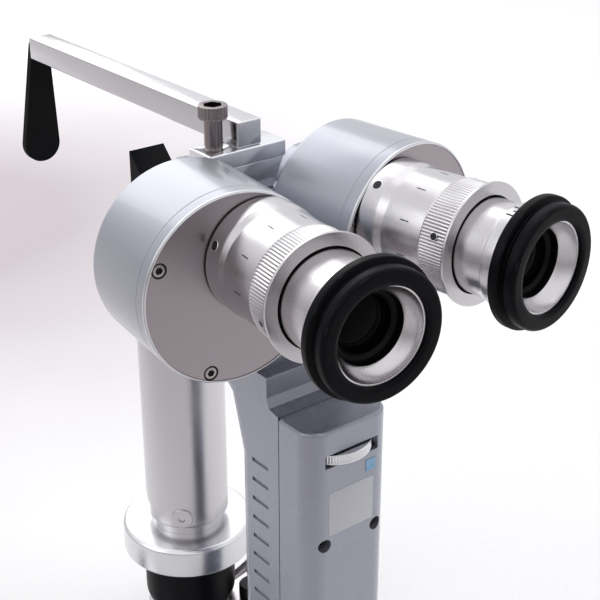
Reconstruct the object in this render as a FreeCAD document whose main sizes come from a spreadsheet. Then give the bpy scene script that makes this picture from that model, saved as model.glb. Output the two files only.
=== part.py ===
"""Hand-held binocular slit lamp: microscope head, handle, forehead rest and swinging slit projector.

Millimetres. The origin is the centre of the handle's foot, +Z is up, +Y points at the patient
and +X is the examiner's right. Every size is a cell of the sheet "Dims"; sub-parts are bound to
those cells, so a changed cell changes the model.
"""
import FreeCAD, Part
import math
import os
import Sketcher

DIMENSIONS = {
    # the two eyepieces and the drums that carry them
    "pupil_distance": 66.0,
    "eye_height": 205.0,
    "eyecup_plane": -68.8,
    "convergence": 6.2,
    "eye_offset": 12.0,
    "eye_angle": 50.0,
    "diopter_setting": 1.2,
    "running_gap": 0.05,
    "face_gap": 0.1,
    "screw_gap": 0.1,
    "drum_radius": 30.0,
    "drum_bevel": 1.0,
    "rim_bevel": 0.5,
    "drum_face": 61.5,
    "drum_rear": 96.7,
    "drum_wall": 2.4,
    "plate_radius": 29.2,
    "plate_front": 61.8,
    "plate_back": 64.3,
    "land_radius": 24.5,
    "land_end": 71.0,
    "plate_screw_circle": 26.9,
    "plate_screw_first": 155.0,
    "plate_screw_step": 95.0,
    "small_head_radius": 2.0,
    "small_head_height": 1.4,
    "small_shank_radius": 1.25,
    "small_shank_length": 5.5,
    "socket_radius": 1.0,
    "socket_depth": 0.9,
    "spigot_radius": 11.0,
    "spigot_flange_radius": 14.0,
    "spigot_flange_length": 2.6,
    "spigot_end": 104.0,
    "light_bore_radius": 7.5,
    "seat_radius": 24.0,
    "seat_face": 85.0,
    "seat_floor": 91.0,
    "seat_pocket_radius": 15.0,
    "prism_width": 11.0,
    # eyepiece tube, diopter ring, eyepiece and eyecup, as radii and stations from the eyecup plane
    "tube_radius": 17.3,
    "tube_bore_radius": 13.5,
    "tube_front": 31.0,
    "tube_shoulder": 37.1,
    "tube_bore_step": 38.6,
    "nose_radius": 16.0,
    "collar_radius": 17.95,
    "collar_bevel_start": 51.8,
    "collar_start": 55.6,
    "collar_foot": 61.2,
    "collar_foot_radius": 17.1,
    "collar_screw_station": 58.4,
    "collar_screw_radius": 1.2,
    "collar_screw_length": 2.2,
    "collar_screw_first": 216.5,
    "collar_screw_lean": 11.5,
    "sleeve_radius": 14.7,
    "sleeve_rear_radius": 13.4,
    "sleeve_step": 34.0,
    "sleeve_end": 56.0,
    "sleeve_head_radius": 15.9,
    "sleeve_head_end": 14.5,
    "cup_seat_radius": 15.2,
    "cup_seat_end": 9.3,
    "cone_radius": 13.9,
    "cone_front": 1.45,
    "cone_mid_radius": 10.9,
    "cone_mid": 5.6,
    "lens_bore_radius": 9.8,
    "lens_bore_start": 8.2,
    "lens_bore_end": 15.2,
    "field_stop_radius": 8.8,
    "field_bore_radius": 11.2,
    "field_bore_start": 38.0,
    "lock_ring_radius": 8.5,
    "lock_ring_front": 8.6,
    "lock_ring_back": 10.4,
    "ring_lip_radius": 19.2,
    "ring_front": 26.0,
    "ring_lip_end": 29.0,
    "ring_grip_radius": 17.7,
    "ring_end": 37.0,
    "ring_step": 30.9,
    "cup_radius": 18.9,
    "cup_flange_radius": 20.2,
    "cup_flange_front": 5.2,
    "cup_flange_back": 8.0,
    "cup_groove_radius": 18.3,
    "cup_round": 0.9,
    # microscope head
    "barrel_radius": 18.0,
    "barrel_end": 113.0,
    "barrel_cap_radius": 12.5,
    "barrel_cap_end": 121.5,
    "head_half_width": 28.0,
    "head_front": 30.0,
    "head_back": 58.0,
    "head_bottom": 181.0,
    "head_top": 205.5,
    "stem_front": 27.6,
    "stem_back": 56.0,
    "objective_radius": 8.0,
    "objective_cell_radius": 10.0,
    "cavity_inner": 9.0,
    "cavity_outer": 37.0,
    "cavity_front": 36.0,
    "cavity_back": 48.6,
    "cavity_half_height": 6.5,
    "body_prism_front": 36.6,
    "focus_distance": 179.0,
    # top bracket, bar, forehead rest and clamp screw
    "bracket_half_width": 15.0,
    "bracket_front": 33.3,
    "bracket_back": 45.3,
    "bracket_top": 220.9,
    "bracket_height": 5.5,
    "post_half_width": 14.8,
    "post_foot_half_width": 10.6,
    "post_front": 34.0,
    "post_back": 54.0,
    "bar_centre": 1.2,
    "bar_width": 9.5,
    "bar_height": 8.7,
    "bar_bevel": 0.5,
    "bar_start": 34.4,
    "bar_end": 174.5,
    "bar_travel": 26.0,
    "key_neck": 4.0,
    "key_head": 6.4,
    "key_height": 3.4,
    "key_start": 38.9,
    "key_end": 45.1,
    "clamp_x": -9.3,
    "clamp_y": 39.4,
    "clamp_shank_radius": 2.95,
    "clamp_head_radius": 4.75,
    "clamp_head_bottom": 231.4,
    "clamp_head_top": 235.6,
    "clamp_socket_radius": 2.9,
    "clamp_socket_depth": 3.2,
    "clamp_tip": 215.6,
    "pad_thickness": 3.0,
    "pad_pivot": 225.3,
    "pad_rise": 2.7,
    "pad_drop": 47.2,
    "pad_tilt": 3.8,
    "pad_top_width": 6.8,
    "pad_bottom_width": 16.8,
    "pad_top_round": 2.6,
    "pad_bottom_round": 7.4,
    # handle
    "handle_half_width": 16.9,
    "handle_front": -20.0,
    "handle_seam": -3.6,
    "handle_rear": 19.5,
    "handle_wall": 2.5,
    "foot_height": 6.0,
    "foot_bevel": 1.5,
    "shelf_height": 144.5,
    "shelf_edge": 1.2,
    "front_round": 7.0,
    "rear_round": 6.0,
    "neck_foot_height": 149.0,
    "neck_front": 2.6,
    "neck_step_height": 156.3,
    "neck_recess": 7.6,
    "neck_top": 165.4,
    "flare_low": 122.0,
    "flare_mid_y": 25.0,
    "flare_mid": 141.0,
    "flare_top_y": 44.0,
    "flare_top": 158.0,
    "cavity_top": 140.0,
    "neck_round": 0.5,
    "ridge_count": 14.0,
    "ridge_top": 122.5,
    "ridge_step": 7.6,
    "ridge_height": 1.5,
    "ridge_depth": 0.6,
    "ridge_front": 2.3,
    "ridge_back": 11.0,
    "slot_half_width": 10.9,
    "slot_height": 4.8,
    "wheel_level": 133.5,
    "wheel_radius": 13.5,
    "wheel_thickness": 3.6,
    "wheel_proud": 2.6,
    "wheel_bore_radius": 2.5,
    "board_level": 125.0,
    "board_thickness": 1.6,
    "indicator_proud": 0.2,
    "indicator_centre": 7.9,
    "indicator_half_width": 1.9,
    "indicator_bottom": 124.0,
    "indicator_top": 128.2,
    "cover_screw_x": 10.7,
    "cover_screw_high": 101.8,
    "cover_screw_low": 13.5,
    "cover_boss_radius": 3.6,
    "cover_screw_head_radius": 2.3,
    "cover_screw_shank_radius": 1.5,
    "cover_screw_depth": 2.2,
    "cover_screw_length": 18.0,
    "battery_radius": 9.2,
    "battery_y": 3.0,
    "battery_bottom": 19.5,
    "battery_length": 65.0,
    "tray_half_width": 6.6,
    "tray_wall": 2.4,
    "contact_radius": 1.6,
    "contact_step": 8.0,
    # swing arm: bracket, curved rail and carriage, as radii from the focus axis
    "rail_radius": 100.0,
    "rail_half_width": 11.0,
    "rail_bottom": 2.0,
    "rail_top": 12.0,
    "rail_half_angle": 41.0,
    "flange_radius": 122.0,
    "flange_bottom": 9.0,
    "slot_neck_half": 3.0,
    "slot_wide_half": 6.0,
    "slot_roof": 8.5,
    "slot_floor": 4.0,
    "stop_angle": 1.5,
    "carriage_half_width": 9.0,
    "carriage_top": 17.0,
    "carriage_half_angle": 9.0,
    "ear_half_width": 7.5,
    "ear_angle": 9.5,
    "knob_distance": 117.6,
    "knob_radius": 5.5,
    "knob_bottom": 17.6,
    "knob_top": 22.4,
    "knob_shank_radius": 2.0,
    "arm_half_width": 12.0,
    "arm_height": 7.0,
    "arm_flange_height": 24.0,
    "arm_flange_thickness": 4.5,
    # slit projector, as radii and heights on the column's axis
    "housing_radius": 18.0,
    "housing_round": 4.0,
    "housing_top": 43.0,
    "housing_floor": 20.0,
    "housing_bore_radius": 15.5,
    "housing_neck": 38.0,
    "hub_radius": 14.0,
    "hub_bore_radius": 10.5,
    "hub_top": 66.0,
    "slit_shelf_bottom": 48.0,
    "slit_shelf_top": 49.6,
    "slit_shelf_radius": 6.0,
    "wheel_ring_radius": 25.7,
    "wheel_ring_bevel": 1.2,
    "wheel_ring_top": 56.0,
    "column_radius": 16.0,
    "column_bore_radius": 13.8,
    "column_bottom": 59.8,
    "column_top": 178.0,
    "column_cap": 168.0,
    "column_bevel": 0.8,
    "boss_radius": 2.8,
    "boss_height": 64.6,
    "boss_angle": 229.0,
    "boss_proud": 0.7,
    "sink_top": 24.0,
    "led_radius": 10.0,
    "led_top": 25.6,
    "condenser_bottom": 41.0,
    "condenser_edge": 3.0,
    "blade_inner": 0.1,
    "blade_width": 5.0,
    "blade_half_length": 6.0,
    "blade_thickness": 0.4,
    "projection_bottom": 170.0,
    "head_block_half_width": 7.2,
    "head_block_cheek": 1.2,
    "head_block_far": 96.0,
    "head_block_top": 204.6,
    "head_block_wall": 4.5,
    "mirror_thickness": 2.2,
}

document = FreeCAD.newDocument("slit_lamp")
sheet = document.addObject("Spreadsheet::Sheet", "Dims")
for row, (alias, value) in enumerate(DIMENSIONS.items(), start=1):
    sheet.set(f"A{row}", alias)
    sheet.set(f"B{row}", str(value))
    sheet.setAlias(f"B{row}", alias)
document.recompute()


class Size:
    """A length or angle: its present value, and the text that binds a property to the sheet."""

    def __init__(self, value, text):
        self.value = float(value)
        self.text = text

    def __add__(self, other):
        other = size(other)
        return Size(self.value + other.value, f"({self.text} + {other.text})")

    def __sub__(self, other):
        other = size(other)
        return Size(self.value - other.value, f"({self.text} - {other.text})")

    def __mul__(self, other):
        other = size(other)
        return Size(self.value * other.value, f"({self.text} * {other.text})")

    def __truediv__(self, other):
        other = size(other)
        return Size(self.value / other.value, f"({self.text} / {other.text})")

    def __neg__(self):
        return Size(-self.value, f"(-1 * {self.text})")

    __radd__ = __add__
    __rmul__ = __mul__


def size(number):
    """Any number as a Size."""
    if isinstance(number, Size):
        return number
    return Size(number, f"({number})")


def cosine(angle):
    return Size(math.cos(math.radians(angle.value)), f"cos({angle.text})")


def sine(angle):
    return Size(math.sin(math.radians(angle.value)), f"sin({angle.text})")


class Cells:
    """The sheet's cells as attributes."""

    def __getattr__(self, alias):
        return Size(sheet.get(alias), f"Dims.{alias}")


d = Cells()
sub_parts = []


def turned(*turns):
    """The text of a rotation: each turn is an axis name and an angle, the last one acting first."""
    axes = {"x": "1;0;0", "y": "0;1;0", "z": "0;0;1"}
    words = [f"rotation(vector({axes[axis]}); {size(angle).text})" for axis, angle in turns]
    return " * ".join(words) or "rotation(vector(0;0;1); 0)"


def put(thing, x=0, y=0, z=0, turns=()):
    """Bind a Placement to the sheet."""
    place = f"vector({size(x).text}; {size(y).text}; {size(z).text})"
    thing.setExpression("Placement", f"placement({place}; {turned(*turns)})")
    return thing


def keep(thing, label):
    """Name a finished sub-part and list it for export."""
    thing.Label = label
    sub_parts.append(thing)
    return thing


def new_body(label):
    body = document.addObject("PartDesign::Body", "Body")
    body.Label = label
    return body


def new_sketch(body, role, shift=0):
    """An empty sketch on one of the body's own origin planes, moved along its normal."""
    plane = [item for item in body.Origin.OriginFeatures if item.Role == role][0]
    sketch = body.newObject("Sketcher::SketchObject", "Sketch")
    sketch.AttachmentSupport = (plane, "")
    sketch.MapMode = "FlatFace"
    sketch.setExpression("AttachmentOffset.Base.z", size(shift).text)
    return sketch


def drive(sketch, kind, geometry, point, value):
    """Hold one coordinate of a sketch point, measured from the sketch's origin."""
    value = size(value)
    rule = Sketcher.Constraint(kind, -1, 1, geometry, point, value.value)
    number = sketch.addConstraint(rule)
    sketch.setExpression(f"Constraints[{number}]", value.text)


def outline(body, role, corners, shift=0):
    """A closed outline of straight edges, every corner driven by the sheet."""
    sketch = new_sketch(body, role, shift)
    corners = [(size(across), size(along)) for across, along in corners]
    spots = [FreeCAD.Vector(across.value, along.value, 0) for across, along in corners]
    count = len(corners)
    for index in range(count):
        sketch.addGeometry(Part.LineSegment(spots[index], spots[(index + 1) % count]), False)
    for index in range(count):
        sketch.addConstraint(Sketcher.Constraint("Coincident", index, 2, (index + 1) % count, 1))
    for index, (across, along) in enumerate(corners):
        drive(sketch, "DistanceX", index, 1, across)
        drive(sketch, "DistanceY", index, 1, along)
    return sketch


def circles(body, role, rounds, shift=0):
    """A sketch of circles, each given as centre x, centre y and radius."""
    sketch = new_sketch(body, role, shift)
    for index, (across, along, radius) in enumerate(rounds):
        across, along, radius = size(across), size(along), size(radius)
        centre = FreeCAD.Vector(across.value, along.value, 0)
        sketch.addGeometry(Part.Circle(centre, FreeCAD.Vector(0, 0, 1), radius.value), False)
        drive(sketch, "DistanceX", index, 3, across)
        drive(sketch, "DistanceY", index, 3, along)
        number = sketch.addConstraint(Sketcher.Constraint("Radius", index, radius.value))
        sketch.setExpression(f"Constraints[{number}]", radius.text)
    return sketch


def extrude(body, sketch, length, kind="Pad", midplane=False, reverse=False):
    """Pad or pocket a sketch."""
    feature = body.newObject(f"PartDesign::{kind}", kind)
    feature.Profile = sketch
    feature.setExpression("Length", size(length).text)
    if midplane:
        feature.SideType = "Symmetric"
    feature.Reversed = reverse
    return feature


def revolve(body, sketch, angle=360, midplane=False):
    """Turn a sketch about its vertical axis."""
    feature = body.newObject("PartDesign::Revolution", "Revolution")
    feature.Profile = sketch
    feature.ReferenceAxis = (sketch, ["V_Axis"])
    feature.setExpression("Angle", size(angle).text)
    feature.Midplane = midplane
    return feature


def round_edges(body, radius, test, kind="Fillet"):
    """Fillet or chamfer the edges of the body's tip that pass the test."""
    document.recompute()
    tip = body.Tip
    names = [f"Edge{number}" for number, edge in enumerate(tip.Shape.Edges, start=1) if test(edge)]
    feature = body.newObject(f"PartDesign::{kind}", kind)
    feature.Base = (tip, names)
    amount = "Radius" if kind == "Fillet" else "Size"
    feature.setExpression(amount, size(radius).text)
    return feature


def turned_piece(label, corners, angle=360, midplane=False):
    """A body turned from a half section of (radius, height) corners."""
    body = new_body(label)
    revolve(body, outline(body, "XZ_Plane", corners), angle, midplane)
    return body


def side_piece(label, corners, width):
    """A body of constant width across X, from a (y, z) side outline."""
    body = new_body(label)
    extrude(body, outline(body, "YZ_Plane", corners), width, midplane=True)
    return body


def primitive(kind, sizes, x=0, y=0, z=0, turns=()):
    """A bound Part primitive."""
    thing = document.addObject(f"Part::{kind}", kind)
    for name, value in sizes.items():
        thing.setExpression(name, size(value).text)
    return put(thing, x, y, z, turns)


def cylinder(radius, height, x=0, y=0, z=0, turns=()):
    return primitive("Cylinder", {"Radius": radius, "Height": height}, x, y, z, turns)


def box(low, high):
    """A bound box between two corners."""
    spans = [size(b) - size(a) for a, b in zip(low, high)]
    return primitive("Box", dict(zip(("Length", "Width", "Height"), spans)), *low)


def fuse(*things):
    whole = document.addObject("Part::MultiFuse", "Fuse")
    whole.Shapes = list(things)
    whole.Refine = True
    return whole


def cut(base, *tools):
    """The base without the tools."""
    rest = document.addObject("Part::Cut", "Cut")
    rest.Base = base
    rest.Tool = tools[0] if len(tools) == 1 else group(*tools)
    return rest


def group(*things):
    """Separate solids under one name."""
    whole = document.addObject("Part::Compound", "Group")
    whole.Links = list(things)
    return whole


def socket_screw(head_radius, head_height, shank_radius, shank_length, socket, depth, place):
    """A socket-head screw: head from z = 0 down to -head_height, shank below it."""
    head = cylinder(head_radius, head_height, z=-size(head_height))
    shank = cylinder(shank_radius, shank_length, z=-size(head_height) - shank_length)
    recess = primitive("Prism", {"Circumradius": socket, "Height": depth}, z=-size(depth))
    screw = cut(fuse(head, shank), recess)
    return put(screw, *place)


# --- frames of the two drums and eyepieces -----------------------------------------------------
SIDES = (("left", -1), ("right", 1))
inward = d.eye_offset * cosine(d.eye_angle)
upward = d.eye_offset * sine(d.eye_angle)
drum_axis_x = d.pupil_distance / 2 + inward * cosine(d.convergence)
drum_axis_y = d.eyecup_plane + inward * sine(d.convergence)
drum_axis_z = d.eye_height - upward


def along_drum(side):
    """Turns that take local +Z along a drum's axis, towards the patient."""
    return (("z", d.convergence * side), ("x", -90))


def on_drum(thing, side, roll=0):
    """Place a piece on a drum's axis, its z = 0 in the eyecup plane."""
    turns = along_drum(side) + (("z", roll),)
    return put(thing, drum_axis_x * side, drum_axis_y, drum_axis_z, turns)


def on_eyepiece(thing, side, slide=0):
    """Place a piece on an eyepiece's axis, moved in along it by slide."""
    slide = size(slide)
    x = d.pupil_distance / 2 * side - slide * sine(d.convergence) * side
    y = d.eyecup_plane + slide * cosine(d.convergence)
    return put(thing, x, y, d.eye_height, along_drum(side))


def rhomboid(label, face, shift):
    """A rhomboid prism that moves the light sideways by shift, its rear face at z = face."""
    half = d.prism_width / 2
    corners = [
        (-half, face),
        (shift - half, face),
        (shift + half, face - d.prism_width),
        (half, face - d.prism_width),
    ]
    body = new_body(label)
    extrude(body, outline(body, "XZ_Plane", corners), d.prism_width, midplane=True)
    return body


def make_drum(name, side):
    """Drum shell, front plate with its screws, and the prism on its seat."""
    inner_radius = d.drum_radius - d.drum_wall
    back_wall = d.drum_rear - d.drum_wall
    shell = turned_piece(f"drum_shell_{name}", [
        (d.spigot_radius + d.running_gap, back_wall),
        (d.spigot_radius + d.running_gap, d.drum_rear),
        (d.drum_radius - d.drum_bevel, d.drum_rear),
        (d.drum_radius, d.drum_rear - d.drum_bevel),
        (d.drum_radius, d.drum_face + d.rim_bevel),
        (d.drum_radius - d.rim_bevel, d.drum_face),
        (d.plate_radius, d.drum_face),
        (d.plate_radius, d.plate_back),
        (d.land_radius, d.plate_back),
        (d.land_radius, d.land_end),
        (inner_radius, d.land_end + inner_radius - d.land_radius),
        (inner_radius, back_wall),
    ])
    spots = []
    for index in range(3):
        angle = -(d.plate_screw_first + d.plate_screw_step * index)
        spots.append((d.plate_screw_circle * cosine(angle), d.plate_screw_circle * sine(angle)))
    threads = circles(shell, "XY_Plane", [(x, y, d.small_shank_radius) for x, y in spots], d.plate_back)
    extrude(shell, threads, d.land_end - d.plate_back, "Pocket", reverse=True)
    keep(on_drum(shell, side), f"drum_shell_{name}")

    plate = new_body(f"drum_plate_{name}")
    rounds = [(0, 0, d.plate_radius), (inward * -side, -upward, d.tube_bore_radius)]
    rounds += [(x, y, d.small_shank_radius + d.screw_gap) for x, y in spots]
    extrude(plate, circles(plate, "XY_Plane", rounds, d.plate_front), d.plate_back - d.plate_front)
    sinks = [(x, y, d.small_head_radius + d.screw_gap) for x, y in spots]
    seat_depth = d.small_head_height + d.screw_gap
    extrude(plate, circles(plate, "XY_Plane", sinks, d.plate_front), seat_depth, "Pocket", reverse=True)
    keep(on_drum(plate, side), f"drum_plate_{name}")

    screws = []
    for x, y in spots:
        place = (x, y, d.plate_front + d.screw_gap, (("x", 180),))
        screws.append(socket_screw(
            d.small_head_radius, d.small_head_height, d.small_shank_radius, d.small_shank_length,
            d.socket_radius, d.socket_depth, place,
        ))
    keep(on_drum(group(*screws), side), f"plate_screws_{name}")

    seat = turned_piece(f"prism_seat_{name}", [
        (d.light_bore_radius, d.seat_face),
        (d.seat_radius, d.seat_face),
        (d.seat_radius, back_wall),
        (d.seat_pocket_radius, back_wall),
        (d.seat_pocket_radius, d.seat_floor),
        (d.light_bore_radius, d.seat_floor),
    ])
    keep(on_drum(seat, side), f"prism_seat_{name}")
    roll = d.eye_angle * side + 90 * (1 + side)
    prism = rhomboid(f"drum_prism_{name}", d.seat_face, d.eye_offset)
    keep(on_drum(prism, side, roll), f"drum_prism_{name}")


def make_eyepiece(name, side):
    """Fixed tube, diopter ring, sliding eyepiece with its lenses, and the rubber eyecup."""
    slide = d.diopter_setting * side
    tube = turned_piece(f"tube_blank_{name}", [
        (d.sleeve_radius + d.running_gap, d.tube_front),
        (d.nose_radius, d.tube_front),
        (d.nose_radius, d.tube_shoulder),
        (d.tube_radius, d.tube_shoulder),
        (d.tube_radius, d.collar_bevel_start),
        (d.collar_radius, d.collar_start),
        (d.collar_radius, d.collar_foot),
        (d.collar_foot_radius, d.collar_foot),
        (d.collar_foot_radius, d.plate_front),
        (d.tube_bore_radius, d.plate_front),
        (d.tube_bore_radius, d.tube_bore_step),
        (d.sleeve_radius + d.running_gap, d.tube_bore_step),
    ])
    drills = []
    screws = []
    reach = d.collar_radius - d.collar_screw_length
    for index in range(3):
        spin = d.collar_screw_first + d.collar_screw_lean * side + 120 * index
        turns = (("z", spin), ("y", 90))
        x, y = cosine(spin) * reach, sine(spin) * reach
        place = (x, y, d.collar_screw_station, turns)
        drills.append(cylinder(d.collar_screw_radius, d.collar_screw_length * 2, *place))
        blank = cylinder(d.collar_screw_radius, d.collar_screw_length - d.rim_bevel)
        socket_floor = d.collar_screw_length - d.rim_bevel - d.socket_depth
        recess = primitive("Prism", {"Circumradius": d.collar_screw_radius / 2, "Height": d.drum_bevel},
                           z=socket_floor)
        screws.append(put(cut(blank, recess), *place))
    keep(on_eyepiece(cut(tube, *drills), side), f"eyepiece_tube_{name}")
    keep(on_eyepiece(group(*screws), side), f"tube_screws_{name}")

    ring = turned_piece(f"diopter_ring_{name}", [
        (d.sleeve_radius + d.face_gap, d.ring_front),
        (d.ring_lip_radius - d.rim_bevel, d.ring_front),
        (d.ring_lip_radius, d.ring_front + d.rim_bevel),
        (d.ring_lip_radius, d.ring_lip_end),
        (d.ring_grip_radius, d.ring_lip_end),
        (d.ring_grip_radius, d.ring_end),
        (d.nose_radius + d.running_gap, d.ring_end),
        (d.nose_radius + d.running_gap, d.ring_step),
        (d.sleeve_radius + d.face_gap, d.ring_step),
    ])
    keep(on_eyepiece(ring, side), f"diopter_ring_{name}")

    sleeve = turned_piece(f"eyepiece_{name}", [
        (d.cone_radius, d.cone_front),
        (d.cup_seat_radius, d.cone_front),
        (d.cup_seat_radius, d.cup_seat_end),
        (d.sleeve_head_radius, d.cup_seat_end),
        (d.sleeve_head_radius, d.sleeve_head_end),
        (d.sleeve_radius, d.sleeve_head_end),
        (d.sleeve_radius, d.sleeve_step),
        (d.sleeve_rear_radius, d.sleeve_step),
        (d.sleeve_rear_radius, d.sleeve_end),
        (d.field_bore_radius, d.sleeve_end),
        (d.field_bore_radius, d.field_bore_start),
        (d.field_stop_radius, d.field_bore_start),
        (d.field_stop_radius, d.lens_bore_end),
        (d.lens_bore_radius, d.lens_bore_end),
        (d.lens_bore_radius, d.lens_bore_start),
        (d.cone_mid_radius, d.cone_mid),
    ])
    keep(on_eyepiece(sleeve, side, slide), f"eyepiece_{name}")

    lock = turned_piece(f"lens_lock_ring_{name}", [
        (d.lock_ring_radius, d.lock_ring_front),
        (d.lens_bore_radius, d.lock_ring_front),
        (d.lens_bore_radius, d.lock_ring_back),
        (d.lock_ring_radius, d.lock_ring_back),
    ])
    keep(on_eyepiece(lock, side, slide), f"lens_lock_ring_{name}")

    eye_lens = lens(d.lens_bore_radius, d.lock_ring_back, d.lens_bore_end - d.lock_ring_back)
    field_lens = lens(d.field_bore_radius, d.field_bore_start, d.lens_bore_end - d.lock_ring_back)
    glass = keep(on_eyepiece(group(eye_lens, field_lens), side, slide), f"eyepiece_lenses_{name}")

    cup = turned_piece(f"eyecup_{name}", [
        (d.cone_radius, d.cup_round),
        (d.cone_radius + d.cup_round, 0),
        (d.cup_radius - d.cup_round, 0),
        (d.cup_radius, d.cup_round),
        (d.cup_radius, d.cup_flange_front - d.cup_round - d.rim_bevel),
        (d.cup_groove_radius, d.cup_flange_front - d.cup_round),
        (d.cup_groove_radius, d.cup_flange_front - d.rim_bevel),
        (d.cup_flange_radius, d.cup_flange_front + d.rim_bevel),
        (d.cup_flange_radius, d.cup_flange_back - d.rim_bevel),
        (d.cup_flange_radius - d.cup_round, d.cup_flange_back + d.rim_bevel),
        (d.cup_seat_radius, d.cup_seat_end),
        (d.cup_seat_radius, d.cone_front),
        (d.cone_radius, d.cone_front),
    ])
    keep(on_eyepiece(cup, side, slide), f"eyecup_{name}")
    return glass


def lens(radius, front, thickness):
    """A lens with a flat rim and two shallow conical crowns, filling the given thickness."""
    crown = size(thickness) / 4
    return turned_piece("lens", [
        (0, front),
        (radius, front + crown),
        (radius, front + thickness - crown),
        (0, front + thickness),
    ])


# --- microscope head --------------------------------------------------------------------------
def objective_x(y):
    """Distance of an objective's axis from the middle plane, at depth y."""
    return (d.focus_distance - y) * sine(d.convergence) / cosine(d.convergence)


def make_head():
    """Casting behind the drums, drum spigots, fixed prisms and the two objectives."""
    casting = [
        box((-d.head_half_width, d.head_front, d.head_bottom),
            (d.head_half_width, d.head_back, d.head_top)),
        box((-d.handle_half_width, d.stem_front + 4, d.neck_top),
            (d.handle_half_width, d.stem_back, d.head_top)),
    ]
    hollows = []
    spigots = []
    prisms = []
    cells = []
    glasses = []
    drift = (d.body_prism_front - drum_axis_y) * sine(d.convergence)
    shift = drum_axis_x - drift - objective_x(d.body_prism_front)
    for name, side in SIDES:
        start = d.drum_rear + d.face_gap
        casting.append(on_drum(turned_piece(f"barrel_{name}", [
            (0, start), (d.barrel_radius, start), (d.barrel_radius, d.barrel_end),
            (d.barrel_cap_radius, d.barrel_end), (d.barrel_cap_radius, d.barrel_cap_end),
            (0, d.barrel_cap_end),
        ]), side))
        hollows.append(on_drum(turned_piece(f"spigot_bore_{name}", [
            (0, d.drum_rear - d.drum_wall), (d.spigot_radius, d.drum_rear - d.drum_wall),
            (d.spigot_radius, d.spigot_end), (0, d.spigot_end),
        ]), side))
        inner, outer = sorted((d.cavity_inner * side, d.cavity_outer * side), key=lambda span: span.value)
        hollows.append(box(
            (inner, d.cavity_front, drum_axis_z - d.cavity_half_height),
            (outer, d.cavity_back, drum_axis_z + d.cavity_half_height),
        ))
        cell_depth = d.head_back - d.cavity_back
        bore = cylinder(d.objective_cell_radius, cell_depth * 2)
        place = (objective_x(d.cavity_back) * side, d.cavity_back, drum_axis_z)
        hollows.append(put(bore, *place, along_drum(side)))
        spigot = turned_piece(f"spigot_{name}", [
            (d.light_bore_radius, d.drum_rear - d.drum_wall - d.face_gap - d.spigot_flange_length),
            (d.spigot_flange_radius, d.drum_rear - d.drum_wall - d.face_gap - d.spigot_flange_length),
            (d.spigot_flange_radius, d.drum_rear - d.drum_wall - d.face_gap),
            (d.spigot_radius, d.drum_rear - d.drum_wall - d.face_gap),
            (d.spigot_radius, d.spigot_end),
            (d.light_bore_radius, d.spigot_end),
        ])
        spigots.append(on_drum(spigot, side))
        prism = rhomboid(f"fixed_prism_{name}", d.body_prism_front + d.prism_width, shift)
        turns = along_drum(0) + (("z", 90 * (1 + side)),)
        prisms.append(put(prism, (objective_x(d.body_prism_front) + shift) * side, 0, drum_axis_z, turns))
        cell = turned_piece(f"cell_{name}", [
            (d.objective_radius, d.face_gap), (d.objective_cell_radius, d.face_gap),
            (d.objective_cell_radius, cell_depth + d.cup_round),
            (d.objective_radius, cell_depth + d.cup_round),
        ])
        glass = lens(d.objective_radius, d.cup_round, d.foot_height)
        for piece in (cell, glass):
            put(piece, *place, along_drum(side))
        cells.append(cell)
        glasses.append(glass)
    keep(cut(fuse(*casting), *hollows), "head_body")
    keep(group(*spigots), "drum_spigots")
    keep(group(*prisms), "fixed_prisms")
    keep(group(*cells), "objective_cells")
    keep(group(*glasses), "objective_lenses")


# --- bracket, bar and forehead rest -----------------------------------------------------------
def key_corners(gap):
    """Dovetail section standing on the bracket, widened by gap on every side."""
    neck = d.key_neck / 2 + gap
    head = d.key_head / 2 + gap
    top = d.bracket_top + d.key_height + gap
    return [
        (d.bar_centre - neck, d.bracket_top), (d.bar_centre + neck, d.bracket_top),
        (d.bar_centre + head, top), (d.bar_centre - head, top),
    ]


def length_piece(label, corners, start, end):
    """A body of constant (x, z) section from y = start to y = end."""
    body = new_body(label)
    section = outline(body, "XZ_Plane", corners, -size(start))
    extrude(body, section, size(end) - start, reverse=True)
    return body


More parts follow.
